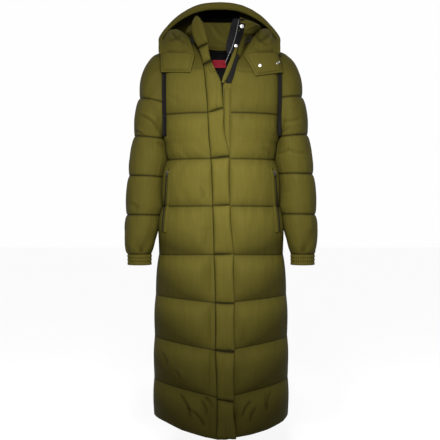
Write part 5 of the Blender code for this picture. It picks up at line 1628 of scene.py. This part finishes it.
@dataclass
class Collar:
    """The padded stand collar."""

    feet: tuple[Point, ...] = (
        (0.0, 0.057, 0.045), (0.0243, 0.0495, 0.0456), (0.0425, 0.0413, 0.0468),
        (0.0606, 0.0293, 0.0483), (0.0788, -0.0005, 0.0498), (0.0711, -0.0519, 0.0333),
        (0.0614, -0.0769, 0.0102), (0.0434, -0.0948, -0.016))
    half_width: float = 0.127
    depths: Pair = (0.105, 0.098)
    centre_y: float = -0.008
    tops: dict[float, Floats] = field(default_factory=lambda: {-1.0: (0.14, 0.139, 0.135, 0.118,
        0.093, 0.09, 0.1, 0.106), 1.0: (0.14, 0.139, 0.137, 0.129, 0.114, 0.109, 0.112, 0.117)})
    levels: Floats = (0.06, 0.078, 0.101)
    lean_z: float = 0.06
    wall: float = 0.003
    puff: float = 0.0085
    fine: int = 12
    gathers: Quilting = field(default_factory=lambda: Quilting(pucker_depth=0.0022,
        pucker_reach=0.026, pucker_pitch=0.01, pucker_width=0.0034, lump=0.0012, lump_size=0.03))

    def coarse(self) -> tuple[Array, Array]:
        """Inner points by level and column from the right front end, and outward directions."""
        columns = []
        outward = []
        for side, feet in ((-1.0, self.feet[:0:-1]), (1.0, self.feet)):
            for x, y, z in feet:
                top_z = self.tops[side][self.feet.index((x, y, z))]
                heading = math.atan2(x, -(y - self.centre_y))
                behind = heading / math.pi
                full_z = 0.118 + 0.022 * (0.5 - 0.5 * math.cos(math.pi * behind))
                depth = self.depths[0] if behind < 0.5 else self.depths[1]
                top = np.array([self.half_width * math.sin(heading),
                    self.centre_y - depth * math.cos(heading)])
                column = []
                levels = [min(level, top_z - 0.008 * (3 - number))
                          for number, level in enumerate(self.levels)]
                for level in (z, *levels, top_z):
                    lean = max(0.0, (level - self.lean_z) / (full_z - self.lean_z)) ** 0.75
                    spot = np.array([x, y]) * (1 - lean) + top * lean
                    column.append((side * spot[0], spot[1], level))
                columns.append(column)
                outward.append((side * math.sin(heading), -math.cos(heading), 0.0))
        return np.array(columns).transpose(1, 0, 2), np.array(outward)

    def build(self) -> Array:
        """Make the collar and return its outer points."""
        coarse, outward = self.coarse()
        inner = refined(coarse, self.fine, self.fine)
        away = unit(through(outward, even(inner.shape[1])))[None]
        level = even(inner.shape[0])
        fill = read_smooth((0.0, 0.25, 0.5, 0.75, 1.0), (0.0, 0.3, 0.9, 1.0, 0.1), level)
        along, up = spans(inner)
        below_top = up[-1:] - up
        pressed = (self.gathers.puckers(along, below_top, SEED + 1300) + 0.6
            * self.gathers.puckers(along, up, SEED + 1310))
        lumps = self.gathers.lumps(along, up, SEED + 1320)
        ends = ease(0.0, 0.02, np.minimum(along, along[:, -1:] - along))
        room = (0.2 + 0.8 * np.clip(2 * fill, 0, 1))[:, None]
        lift = self.wall + self.puff * fill[:, None] + room * (lumps - pressed)
        outer = inner + away * np.maximum(lift, 0.0016)[..., None]
        inward = 0.0004 + 1.25 * (self.gathers.puckers(along, below_top, SEED + 1330)
            + 0.0012 + self.gathers.lumps(along, up, SEED + 1340))
        inner = inner - away * (np.clip(inward, 0.0, 0.006) * ends
            * np.clip(4 * fill, 0, 1)[:, None])[..., None]
        seam = np.exp(-(below_top / 0.0022) ** 2) * 0.6
        shade = np.clip(0.7 - inward / 0.0065, 0.15, 0.7)
        Piece.pad("stand_collar", inner, outer, ["collar"], BOTH_SHELL, 0.6,
                  seam=seam, shade=shade)
        return outer


# ---- Hood ----

@dataclass(frozen=True)
class Station:
    """A line of the hood from its rim, round behind and down towards the neck (left half)."""

    rim: Point
    first: Point
    second: Point
    third: Point
    neck: Point
    rim_height: float
    rim_turn: float


@dataclass
class Hood:
    """The hood that stands open behind the neck: three panels, a rim and two tabs."""

    stations: tuple[Station, ...] = tuple(Station(*row) for row in (((0.0, 0.062, 0.188),
        (0.0, 0.15, 0.188), (0.0, 0.2, 0.12), (0.0, 0.165, 0.045), (0.0, 0.071, 0.069), 0.0125,
        12.0), ((0.062, 0.054, 0.18), (0.066, 0.138, 0.178), (0.07, 0.186, 0.112),
        (0.062, 0.152, 0.045), (0.0315, 0.0627, 0.069), 0.0125, 15.0),
        ((0.115, 0.032, 0.151), (0.125, 0.108, 0.145), (0.132, 0.15, 0.098), (0.105, 0.122, 0.05),
        (0.054, 0.0518, 0.069), 0.0115, 25.0), ((0.154, 0.0, 0.112), (0.16, 0.056, 0.106),
        (0.16, 0.084, 0.092), (0.138, 0.07, 0.08), (0.0745, 0.0362, 0.069), 0.01, 40.0),
        ((0.179, -0.042, 0.07), (0.171, -0.008, 0.082), (0.156, 0.008, 0.1), (0.128, 0.006, 0.098),
        (0.0945, 0.0004, 0.072), 0.0092, 50.0), ((0.18, -0.072, 0.042), (0.168, -0.068, 0.052),
        (0.15, -0.066, 0.068), (0.126, -0.062, 0.076), (0.097, -0.062, 0.064), 0.0085, 50.0),
        ((0.179, -0.088, 0.01), (0.16, -0.1, 0.013), (0.132, -0.11, 0.012), (0.102, -0.111, 0.01),
        (0.074, -0.1095, 0.005), 0.007, 50.0)))
    cuts: tuple[tuple[str, int, int], ...] = (
        ("hood_side_right", 0, 5), ("hood_centre", 5, 7), ("hood_side_left", 7, 12))
    shift: float = -0.005
    turn_z: float = 0.05
    rim_thick: float = 0.0055
    rim_clear: float = -0.004
    wall: float = 0.003
    puff: float = 0.007
    fine: int = 12
    rim_sides: int = 28
    rim_rows: int = 220
    crumple: Quilting = field(default_factory=lambda: Quilting(pucker_depth=0.002,
        pucker_reach=0.022, pucker_pitch=0.016, pucker_width=0.0045, lump=0.003, lump_size=0.04))

    def lines(self) -> tuple[Array, list[tuple[Array, Array, Array]]]:
        """Inner points by station and step, and each station's rim centre and axes."""
        lines = []
        rims = []
        order = [(-1.0, station) for station in self.stations[:0:-1]]
        order += [(1.0, station) for station in self.stations]
        for side, station in order:
            flip = np.array([side, 1.0, 1.0])
            shift = np.array([self.shift, 0.0, 0.0])
            rim, first, second, third = (np.array(spot) * flip + shift for spot in (
                station.rim, station.first, station.second, station.third))
            neck = np.array(station.neck) * flip
            if station is self.stations[-1]:
                neck = neck + shift
            back = unit(first - rim)
            outline = unit(np.array([rim[0] - self.shift, 0.0, rim[2] - self.turn_z]))
            turn = math.radians(station.rim_turn)
            rims.append((rim,
                (outline * math.cos(turn) + back * math.sin(turn)) * station.rim_height, back))
            start = rim + back * (self.rim_clear + abs(math.sin(turn)) * station.rim_height)
            knots = np.array([start, first, second, third, neck])
            lines.append(through(knots, even(9)))
        return np.array(lines), rims

    def panels(self) -> tuple[Array, Array, list]:
        """Make the three panels and return the hood's inner and outer points and its rims."""
        coarse, rims = self.lines()
        inner = refined(coarse, self.fine, 7)
        normals = grid_normals(inner, False, np.array([0.0, 1.0, 0.25]))
        middle = inner.shape[0] // 2
        if normals[middle, inner.shape[1] // 2, 1] < 0:
            normals = -normals
        step = even(inner.shape[1])
        last = len(self.stations) - 1.0
        station = np.abs(np.linspace(-last, last, inner.shape[0]))
        ends = np.clip(0.25 * (1 + (last - station)), 0.0, 1.0)
        seam_gap = np.abs(station - 1.0) * 0.06
        beside = ease(0.0, 0.012, seam_gap)
        fill = np.outer(ends * (0.15 + 0.85 * beside), (1 - np.abs(2 * step - 1) ** 2.6) ** 0.6)
        along, up = lengths_along(inner, 0), lengths_along(inner, 1)
        lumps = self.crumple.lumps(along, up, SEED + 1500)
        pressed = self.crumple.puckers(along, up, SEED + 1510) \
            + self.crumple.puckers(along, up[:, -1:] - up, SEED + 1520)
        lift = self.wall + self.puff * fill + np.clip(2 * fill, 0, 1) * (lumps - pressed)
        outer = inner + normals * np.maximum(lift, 0.0018)[..., None]
        folds = self.crumple.lumps(along, up, SEED + 1530) * 1.1
        crease = self.fold_lines(inner)
        inside = inner - normals * (np.clip(2 * fill, 0, 1) * np.clip(folds + 0.0012 - crease,
            -0.004, 0.006))[..., None]
        for name, first, last in self.cuts:
            low, high = (grid[first * self.fine:last * self.fine + 1].copy()
                for grid in (inside, outer))
            for grid in (low, high):
                grid[0, :, 0] += GAP / 2 if first else 0.0
                grid[-1, :, 0] -= GAP / 2 if last < self.cuts[-1][2] else 0.0
            seam = np.zeros(low.shape[:2])
            seam[[0, -1]] = 0.8
            # The centre panel's inside is the black lining, a dark sheet for the shade deep inside
            # the hood; the cheeks' insides are olive cloth with painted shade.
            inside_look = Finish.LINING if name == "hood_centre" else Finish.SHELL
            shade = 0.2 * ease(0.01, 0.07, low[..., 2]) + self.fold_lines(low) / 0.009
            Piece.pad(f"{name}_panel", low, high, [name], (Finish.SHELL, inside_look), 0.5,
                      seam=seam, shade=np.clip(shade, 0.0, 0.8))
        return inside, outer, rims

    def fold_lines(self, inner: Array) -> Array:
        """Soft folds on the showing side of the cheeks, where they turn over the shoulders."""
        depth = np.zeros(inner.shape[:2])
        for low, high, deep, wide in (((-0.165, 0.02), (-0.1, 0.016), 0.005, 0.006),
                                      ((-0.158, 0.052), (-0.12, 0.07), 0.005, 0.006),
                                      ((-0.15, 0.084), (-0.108, 0.044), 0.004, 0.005),
                                      ((0.1, 0.018), (0.165, 0.022), 0.005, 0.006),
                                      ((0.112, 0.05), (0.15, 0.078), 0.005, 0.006),
                                      ((0.104, 0.072), (0.142, 0.036), 0.004, 0.005)):
            depth += Quilting().crease(inner[..., 0], inner[..., 2], Crease(low, high, deep, wide))
        return depth * (inner[..., 1] < 0.0)

    def rim(self, rims: Sequence[tuple[Array, Array, Array]]) -> None:
        """Make the padded band along the hood's edge."""
        places = even(self.rim_rows)
        centres, axes, backs = (through(np.array([rim[part] for rim in rims]),
            places) for part in range(3))
        turned = unit(axes)
        across = backs - turned * (backs * turned).sum(axis=-1, keepdims=True)
        across = unit(across) * self.rim_thick
        angle = 2 * math.pi * np.arange(self.rim_sides) / self.rim_sides
        length = lengths_along(centres, 0)
        around = angle[None, :] * 0.012 + np.zeros((len(places), 1))
        ripple = self.crumple.lumps(np.repeat(length[:, None], self.rim_sides, axis=1), around,
            SEED + 1600) * 0.25
        stitch = 1 - 0.16 * np.exp(-((np.sin(angle / 2 + 0.35)) / 0.1) ** 2)
        section = (axes[:, None] * np.cos(angle)[None, :, None]
            + across[:, None] * np.sin(angle)[None, :, None])
        reach = stitch[None, :] * (1 + ripple / 0.01)
        cap = np.ones(len(places))
        cap[:6] = cap[-6:][::-1] = np.sin(np.linspace(0.25, math.pi / 2, 6))
        outer = centres[:, None] + section * (reach * cap[:, None])[..., None]
        inner = centres[:, None] + section * 0.3 * cap[:, None, None]
        seam = np.repeat((1 - stitch)[None, :] * 4, len(places), axis=0)
        Piece.pad("hood_rim_band", inner, outer, ["hood_rim"], BOTH_SHELL, 0.8, True, seam)

    def tabs(self, inner: Array, outer: Array) -> dict[str, Array]:
        """Make the two tabs below the hood's front corners and return their showing sides."""
        feet = {"right": ((0.18, -0.101, -0.046), (0.092, -0.126, -0.05), 0),
                "left": ((0.186, -0.099, -0.046), (0.104, -0.127, -0.061), -1)}
        shown = {}
        for side, (shoulder, neck, end) in feet.items():
            flip = FLIPS[side]
            share = even(inner.shape[1])[:, None]
            low = (np.array(shoulder) * (1 - share) + np.array(neck) * share) * flip
            places = even(46)
            rows_in = []
            rows_out = []
            for place in places:
                bow = np.array([0.0, -0.004 * math.sin(math.pi * place), -0.0006])
                rows_in.append(inner[end] * (1 - place) + low * place + bow)
                rows_out.append(outer[end] * (1 - place) + (low + np.array([0.0, 0.004,
                    0.0])) * place + bow)
            front, behind = np.array(rows_in), np.array(rows_out)
            along, up = spans(front)
            edge = np.minimum(np.minimum(along, along[:, -1:] - along), up[-1:] - up)
            soft = ease(0.0, 0.01, edge)
            ripple = self.crumple.lumps(along, up, SEED + (1700 if side == "left" else 1720))
            stitched = np.exp(-((edge - 0.0065) / 0.0013) ** 2)
            lift = 0.0022 * soft + 0.55 * ripple * soft - 0.0006 * stitched
            front = front + grid_normals(front, False, np.array([0.0, -1.0, 0.2])) \
                * lift[..., None]
            seam = np.maximum(0.45 * stitched, np.exp(-(up / 0.0016) ** 2))
            Piece.pad(f"hood_tab_{side}_padded", behind, front, [f"hood_tab_{side}"],
                      BOTH_SHELL, 0.5, seam=seam)
            shown[side] = front
        return shown

    def build(self) -> dict[str, Array]:
        """Make the hood and return the tabs' showing sides."""
        inner, outer, rims = self.panels()
        self.rim(rims)
        return self.tabs(inner, outer)


# ---- Open end of the collar and the inside of the back neck ----

def tube_rings(line: Array, widths: Array, depths: Array, sides: int, toward: Array) -> Array:
    """Rings of an oval tube along a line.

    Args:
        line: points of its middle.
        widths: half-width of each ring.
        depths: half-depth of each ring, measured along `toward`.
        sides: points on a ring.
        toward: which way the tube's flat side faces.
    """
    ahead = unit(np.gradient(line, axis=0))
    out = unit(toward - ahead * (ahead @ toward)[:, None])
    across = np.cross(ahead, out)
    angle = 2 * math.pi * np.arange(sides) / sides
    return (line[:, None] + across[:, None] * (widths[:, None] * np.cos(angle))[..., None]
            + out[:, None] * (depths[:, None] * np.sin(angle))[..., None])


@dataclass(frozen=True)
class FacingRow:
    """The black facing on the collar's left end: its inward edge, middle and outward edge."""

    z: float
    inward: Pair
    middle: Pair
    outward: Pair


@dataclass
class OpenEnd:
    """Facing, zip tape and coil, and wind guard of the open left end."""

    facing: tuple[FacingRow, ...] = tuple(FacingRow(*row) for row in (
        (0.112, (0.037, -0.1085), (0.056, -0.1095), (0.0755, -0.0965)),
        (0.095, (0.0305, -0.112), (0.0525, -0.1115), (0.0725, -0.1)),
        (0.06, (0.022, -0.107), (0.044, -0.105), (0.0625, -0.095)),
        (0.03, (0.015, -0.1075), (0.0345, -0.106), (0.052, -0.101)),
        (0.006, (0.0185, -0.1095), (0.031, -0.108), (0.0455, -0.1035))))
    guard: tuple[Point, ...] = ((0.0465, -0.11, 0.024), (0.0345, -0.114, -0.006),
        (0.021, -0.1165, -0.04), (0.01, -0.1222, -0.068), (0.0045, -0.1252, -0.083))
    guard_widths: Floats = (0.0032, 0.0058, 0.0066, 0.0058, 0.0036)
    guard_depth: float = 0.0026
    guard_shift: float = 0.0018
    guard_lift: float = 0.004
    tape: tuple[Point, ...] = (     # height, and x of the tape's two edges
        (0.005, 0.046, 0.0546), (-0.013, 0.04, 0.051), (-0.031, 0.033, 0.0462),
        (-0.049, 0.024, 0.042), (-0.067, 0.0175, 0.0369), (-0.082, 0.014, 0.0306))
    tape_clear: float = 0.0016
    coil: tuple[Point, ...] = (
        (0.0535, -0.1148, 0.108), (0.05, -0.114, 0.09), (0.0435, -0.1095, 0.06),
        (0.033, -0.109, 0.026), (0.021, -0.1125, -0.002), (0.013, -0.116, -0.022))
    coil_pitch: float = 0.0026
    coil_radius: float = 0.0016

    def build(self, panels: BodyPanels) -> Array:
        """Make the pieces and return the facing's outer points."""
        rows = np.array([[(x, y, row.z) for x, y in (row.inward, row.middle,
            row.outward)] for row in self.facing])
        under = refined(rows, 14, 12)
        normals = grid_normals(under, False, AHEAD)
        along, up = spans(under)
        ripple = Quilting(lump=0.0004, lump_size=0.016).lumps(along, up, SEED + 1900)
        edge = ease(0.0, 0.006, np.minimum(along, along[:, -1:] - along))
        inner = under
        outer = under + normals * (0.0013 + np.maximum(ripple, -0.0006) * edge)[..., None]
        Piece.sheet("collar_facing", inner, outer, BOTH_LINING, ["collar_facing_left"],
            rests_on=["stand_collar"])
        self.wind_guard()
        self.zip_tape(panels.grids["front_left"])
        self.zip_coil()
        return outer

    def wind_guard(self) -> None:
        """Make the piped edge of the wind guard."""
        places = even(90)
        line = through(np.array(self.guard), places)
        line[:, 0] += self.guard_shift * np.sin(math.pi * places)
        line[:, 1] -= self.guard_lift
        wide = through(np.array(self.guard_widths)[:, None], places)[:, 0]
        bumpy = 1 + 0.1 * cloudy(places * 9, places * 0, SEED + 1920)
        deep = np.full(len(places), self.guard_depth) * bumpy
        toward = np.array([0.25, -1.0, 0.1])
        outer = tube_rings(line, wide * bumpy, deep, 20, toward)
        inner = tube_rings(line, wide * 0.4, deep * 0.4, 20, toward)
        seam = np.zeros(outer.shape[:2])
        Piece.pad("wind_guard_edge", inner, outer, ["wind_guard"], BOTH_SHELL, 0.8, True, seam)

    def zip_tape(self, front: PanelGrid) -> None:
        """Lay the zip's tape between the wind guard and the left front."""
        table = through(np.array(self.tape), even(40))
        guard = np.array(self.guard)[::-1]
        rows = []
        for z, low, high in table:
            guard_y = float(np.interp(z, guard[:, 2], guard[:, 1]))
            rows.append([(x, min(front.at(x, z)[1] - self.tape_clear, guard_y),
                z) for x in np.linspace(low, high, 9)])
        tape = np.array(rows)
        back = tape + np.array([0.0, 0.0012, 0.0])
        Piece.sheet("open_zip_tape", back, tape, BOTH_TAPE, ["open_zip_tape_left"])

    def zip_coil(self) -> None:
        """Make the zip's coil down the open left end."""
        line = through(np.array(self.coil), even(300))
        length = lengths_along(line, 0)
        turn = 0.5 + 0.5 * np.cos(2 * math.pi * length / self.coil_pitch)
        reach = self.coil_radius * (0.55 + 0.45 * turn)
        outer = tube_rings(line, reach, reach * 0.7, 8, AHEAD)
        inner = tube_rings(line, reach * 0.2, reach * 0.2, 8, AHEAD)
        Piece.finish("open_zip_coil", Piece.shell("open_zip_coil", inner, outer, True),
            (Finish.COIL, Finish.COIL))


@dataclass
class BackNeck:
    """The black facing inside the back neck and the woven label on it."""

    half: tuple[tuple[Point, ...], ...] = (
        ((0.0, 0.118, -0.1025), (0.0259, 0.1176, -0.1025), (0.0452, 0.1167, -0.1025),
         (0.064, 0.1151, -0.1025), (0.0825, 0.1127, -0.1025)),
        ((0.0, 0.1115, -0.0461), (0.0259, 0.1106, -0.0458), (0.0452, 0.1091, -0.0454),
         (0.064, 0.107, -0.0448), (0.0826, 0.1041, -0.0442)),
        ((0.0, 0.094, 0.0018), (0.0259, 0.0913, 0.0022), (0.0452, 0.0883, 0.003),
         (0.0641, 0.0844, 0.0041), (0.0827, 0.0797, 0.0052)),
        ((0.0, 0.0748, 0.031), (0.0259, 0.0696, 0.0315), (0.0453, 0.0639, 0.0326),
         (0.0642, 0.0567, 0.034), (0.0828, 0.048, 0.0353)),
        ((0.0, 0.064, 0.0424), (0.0259, 0.0568, 0.043), (0.0453, 0.0489, 0.0441),
         (0.0642, 0.0378, 0.0457), (0.0829, 0.0211, 0.0471)))
    lift: float = 0.0006
    wall: float = 0.0012
    label_x: Pair = (-0.027, 0.016)
    label_z: Pair = (0.018, -0.004)

    def build(self) -> None:
        """Make the facing and the label."""
        half = np.array(self.half)
        coarse = np.concatenate([(half * (-1.0, 1.0, 1.0))[:, :0:-1], half], axis=1)
        under = refined(coarse, 14, 12)
        normals = grid_normals(under, False, AHEAD)
        along, up = spans(under)
        ripple = Quilting(lump=0.0012, lump_size=0.03).lumps(along, up, SEED + 2000)
        edge = ease(0.0, 0.015, np.minimum(up, up[-1:] - up))
        inner = under + normals * self.lift
        outer = inner + normals * (self.wall + np.clip(ripple, -0.0005, 0.002) * edge)[..., None]
        Piece.sheet("back_neck_lining", inner, outer, BOTH_LINING, ["back_neck_facing"])
        rows = []
        for z in np.linspace(self.label_z[1], self.label_z[0], 18):
            line = []
            for x in np.linspace(*self.label_x, 26):
                heights = [np.interp(x, row[:, 0], row[:, 2]) for row in outer[::7]]
                depths = [np.interp(x, row[:, 0], row[:, 1]) for row in outer[::7]]
                line.append((x, np.interp(z, heights, depths) - 0.001, z))
            rows.append(line)
        label = np.array(rows)
        bow = np.sin(np.linspace(0, math.pi, label.shape[1]))[None, :]
        label[..., 1] -= 0.0012 * bow
        front = label - np.array([0.0, 0.0009, 0.0])
        Piece.sheet("neck_label_woven", label, front, BOTH_LABEL, ["neck_label"],
            rests_on=["back_neck_lining"])


# ---- Hardware ----

@dataclass(frozen=True)
class Stand:
    """Where a hard piece stands: its middle, its own axes (across, in, up) and its size."""

    middle: Array
    axes: Array
    size: Array

    @classmethod
    def of(cls, node: str) -> "Stand":
        """Read a stand from a node of the frame."""
        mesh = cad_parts[node].data
        spots = np.zeros(len(mesh.vertices) * 3)
        mesh.vertices.foreach_get("co", spots)
        spots = spots.reshape(-1, 3)
        middle = (spots.max(axis=0) + spots.min(axis=0)) / 2
        _, _, turned = np.linalg.svd(spots - spots.mean(axis=0), full_matrices=False)
        up, across, into = turned
        into = into * (1.0 if into[1] > 0 else -1.0)
        up = up * (1.0 if up[2] + 0.2 * up[0] > 0 else -1.0)
        across = np.cross(into, up)
        axes = np.array([across, into, up])
        reach = (spots - middle) @ axes.T
        return cls(middle, axes, reach.max(axis=0) - reach.min(axis=0))

    def raised(self, rise: float) -> "Stand":
        """The same stand, moved outward."""
        return Stand(self.middle - self.axes[1] * rise, self.axes, self.size)

    def place(self, points: Array) -> Array:
        """Turn points from the piece's own axes into the coat's frame."""
        return self.middle + points @ self.axes


@dataclass
class Hardware:
    """Zip sliders and pulls, snaps and the eyelet bar."""

    pulls: dict[str, str] = field(default_factory=lambda: {"zip_pull": "zip_pull_tab",
        "pocket_pull_right": "pocket_pull_right_tab", "pocket_pull_left": "pocket_pull_left_tab"})
    sliders: tuple[str, ...] = ("zip_slider", "pocket_slider_right", "pocket_slider_left")
    tab_rise: float = 0.0032        # how far the padded tab lifts its snap and eyelet
    studs: tuple[str, ...] = ("hood_snap", "guard_snap_upper", "guard_snap_lower")

    @staticmethod
    def mesh(name: str, points: Array, faces: list[tuple[int, ...]]) -> Mesh:
        """Make a mesh with softened edges and outward faces."""
        mesh = bpy.data.meshes.new(name)
        mesh.from_pydata(points.tolist(), [], faces)
        return Piece.turned_out(mesh)

    @staticmethod
    def rounded(width: float, height: float, corner: float, count: int) -> Array:
        """Points of a rounded rectangle's outline."""
        angle = 2 * math.pi * (np.arange(count) + 0.5) / count
        x = np.sign(np.cos(angle)) * (width / 2 - corner) + corner * np.cos(angle)
        z = np.sign(np.sin(angle)) * (height / 2 - corner) + corner * np.sin(angle)
        return np.stack([x, z], axis=-1)

    def plate(self, name: str, rim: Array, hole: Array, thick: float, stand: Stand) -> Mesh:
        """Make a plate with a hole and softened edges.

        Args:
            name: the mesh's name.
            rim: the outline's points across and up.
            hole: the hole's points, as many.
            thick: the plate's thickness.
            stand: where it stands.
        """
        soft = 0.22 * thick
        middle = (rim + hole) / 2
        loops = [(rim, 0.0), (rim + (middle - rim) * 0.12, 0.5), (middle, 0.5 + soft),
                 (hole + (middle - hole) * 0.12, 0.5), (hole, 0.0),
                 (hole + (middle - hole) * 0.12, -0.5), (middle, -0.5),
                 (rim + (middle - rim) * 0.12, -0.5)]
        count = len(rim)
        points = []
        for loop, depth in loops:
            points.append(np.stack([loop[:, 0], np.full(count, -depth * thick), loop[:, 1]],
                axis=-1))
        faces = []
        for ring in range(len(loops)):
            after = (ring + 1) % len(loops)
            for spot in range(count):
                turn = (spot + 1) % count
                faces.append((ring * count + spot, ring * count + turn, after * count + turn,
                    after * count + spot))
        return self.mesh(name, stand.place(np.concatenate(points)), faces)

    def turned(self, name: str, profile: Array, stand: Stand, sides: int = 40) -> Mesh:
        """Make a turned piece from a profile of reach and height above its foot."""
        angle = 2 * math.pi * np.arange(sides) / sides
        rings = np.stack([profile[:, :1] * np.cos(angle), np.repeat(-profile[:, 1:], sides, 1),
            profile[:, :1] * np.sin(angle)], axis=-1)
        faces = [(ring * sides + spot, ring * sides + (spot + 1) % sides,
            (ring + 1) * sides + (spot + 1) % sides, (ring + 1) * sides + spot)
            for ring in range(len(profile) - 1) for spot in range(sides)]
        faces += [tuple(range(sides)), tuple((len(profile) - 1) * sides + spot
            for spot in range(sides))]
        return self.mesh(name, stand.place(rings.reshape(-1, 3)), faces)

    def slider(self, name: str) -> None:
        """Make a slider: a tapered body with a raised bridge for its pull."""
        stand = Stand.of(name)
        width, depth, height = stand.size
        work = bmesh.new()
        for size, middle, narrow in (((width, depth * 0.55, height), (0.0, depth * 0.2, 0.0),
                0.72), ((width * 0.34, depth * 0.5, height * 0.62), (0.0, -depth * 0.22, 0.0),
                1.0)):
            shape = Matrix.Translation(Vector(middle)) @ Matrix.Diagonal(Vector((*size, 1.0)))
            made = bmesh.ops.create_cube(work, size=1.0, matrix=shape)
            for vertex in made["verts"]:
                if vertex.co.z < middle[2]:
                    vertex.co.x *= narrow
            edges = list({edge for vertex in made["verts"] for edge in vertex.link_edges})
            bmesh.ops.bevel(work, geom=edges, offset=min(size) * 0.28, segments=3, affect="EDGES")
        mesh = bpy.data.meshes.new(f"{name}_cast")
        work.to_mesh(mesh)
        work.free()
        spots = np.array([tuple(vertex.co) for vertex in mesh.vertices])
        mesh.vertices.foreach_set("co", stand.place(spots).ravel())
        Piece.finish(f"{name}_cast", Piece.turned_out(mesh), (Finish.DARK,), (name,))

    def build(self) -> None:
        """Make all the hard pieces."""
        for name in self.sliders:
            self.slider(name)
        for name, body in self.pulls.items():
            stand = Stand.of(name)
            width, depth, height = stand.size
            rim = self.rounded(width, height, width * 0.42, 48)
            hole = self.rounded(width * 0.46, height * 0.3, width * 0.2, 48)
            hole[:, 1] += height * 0.24
            Piece.finish(f"{name}_cast", self.plate(name, rim, hole, depth, stand), (Finish.DARK,),
                (name,), body)
        for name in self.studs:
            stand = Stand.of(name)
            reach = (stand.size[0] + stand.size[2]) / 4
            high = stand.size[1]
            if name == "hood_snap":
                stand = stand.raised(self.tab_rise)
            profile = np.array([(0.8, -0.5), (0.97, -0.45), (1.0, -0.25), (0.97, -0.02),
                (0.86, 0.1), (0.78, 0.06), (0.7, 0.2), (0.52, 0.38), (0.28, 0.48),
                (0.05, 0.5)]) * (reach, high)
            Piece.finish(f"{name}_cap", self.turned(name, profile, stand), (Finish.SNAP,), (name,))
        stand = Stand.of("hood_eyelet").raised(self.tab_rise)
        across, depth, along = stand.size
        rim = self.rounded(across, along, across * 0.46, 48)
        hole = self.rounded(across * 0.4, along * 0.72, across * 0.18, 48)
        Piece.finish("hood_eyelet_cast", self.plate("hood_eyelet", rim, hole, depth, stand),
            (Finish.SNAP,), ("hood_eyelet",))


# ---- Studio ----

@dataclass(frozen=True)
class SoftLight:
    """A square soft light."""

    name: str
    place: Point
    target: Point
    size: float
    watts: float
    spread: float


@dataclass
class Studio:
    """Plain pale floor, soft lights and the camera."""

    camera_place: Point = (-0.00312, -3.05, -0.493)
    lens: float = 80.0
    floor_z: float = -1.42
    floor_size: float = 60.0
    sky: Colour = (1.0, 1.0, 1.0)
    sky_strength: float = 0.99
    lights: tuple[SoftLight, ...] = tuple(SoftLight(*row) for row in (
        ("key", (-0.05, -1.15, 0.1), (0.0, -0.1, -0.34), 0.35, 7.0, 54.0),
        ("low", (0.0, -1.45, -0.45), (0.0, -0.1, -0.74), 0.25, 1.05, 34.0),
        ("crown", (0.0, -0.8, 0.75), (0.0, 0.0, 0.19), 0.2, 0.26, 20.0)))

    def build(self) -> None:
        """Make the studio."""
        scene = bpy.context.scene
        scene.view_settings.view_transform = "Standard"
        self.floor()
        world = bpy.data.worlds.new("studio")
        world.use_nodes = True
        sky = world.node_tree.nodes["Background"]
        sky.inputs["Color"].default_value = (*self.sky, 1.0)
        sky.inputs["Strength"].default_value = self.sky_strength
        scene.world = world
        for light in self.lights:
            self.light(light)
        data = bpy.data.cameras.new("camera")
        data.lens = self.lens
        camera = bpy.data.objects.new("camera", data)
        camera.location = self.camera_place
        camera.rotation_euler = (math.radians(90), 0.0, 0.0)
        scene.collection.objects.link(camera)
        scene.camera = camera

    def floor(self) -> None:
        """Make the floor."""
        bpy.ops.mesh.primitive_plane_add(size=self.floor_size, location=(0, 0, self.floor_z))
        floor = bpy.context.object
        floor.name = "studio_floor"
        graph = Graph("pale_floor")
        graph.set(Base_Color=(0.97, 0.97, 0.97), Roughness=0.9, Specular_IOR_Level=0.0)
        floor.data.materials.append(graph.material)

    @staticmethod
    def light(light: SoftLight) -> None:
        """Hang one soft light."""
        data = bpy.data.lights.new(light.name, "AREA")
        data.size = light.size
        data.energy = light.watts
        data.spread = math.radians(light.spread)
        lamp = bpy.data.objects.new(light.name, data)
        lamp.location = light.place
        lamp.visible_camera = False
        aim = Vector(light.target) - Vector(light.place)
        lamp.rotation_euler = aim.to_track_quat("-Z", "Y").to_euler()
        bpy.context.scene.collection.objects.link(lamp)


def main() -> None:
    """Build the coat and its studio."""
    logging.basicConfig(level=logging.INFO, format="%(message)s", force=True)
    Studio().build()
    panels = BodyPanels()
    panels.build()
    Sleeves().build(panels)
    StormFlap().build(panels)
    Trims(panels).build()
    Collar().build()
    Hood().build()
    OpenEnd().build(panels)
    BackNeck().build()
    Hardware().build()


if __name__ == "__main__":
    main()
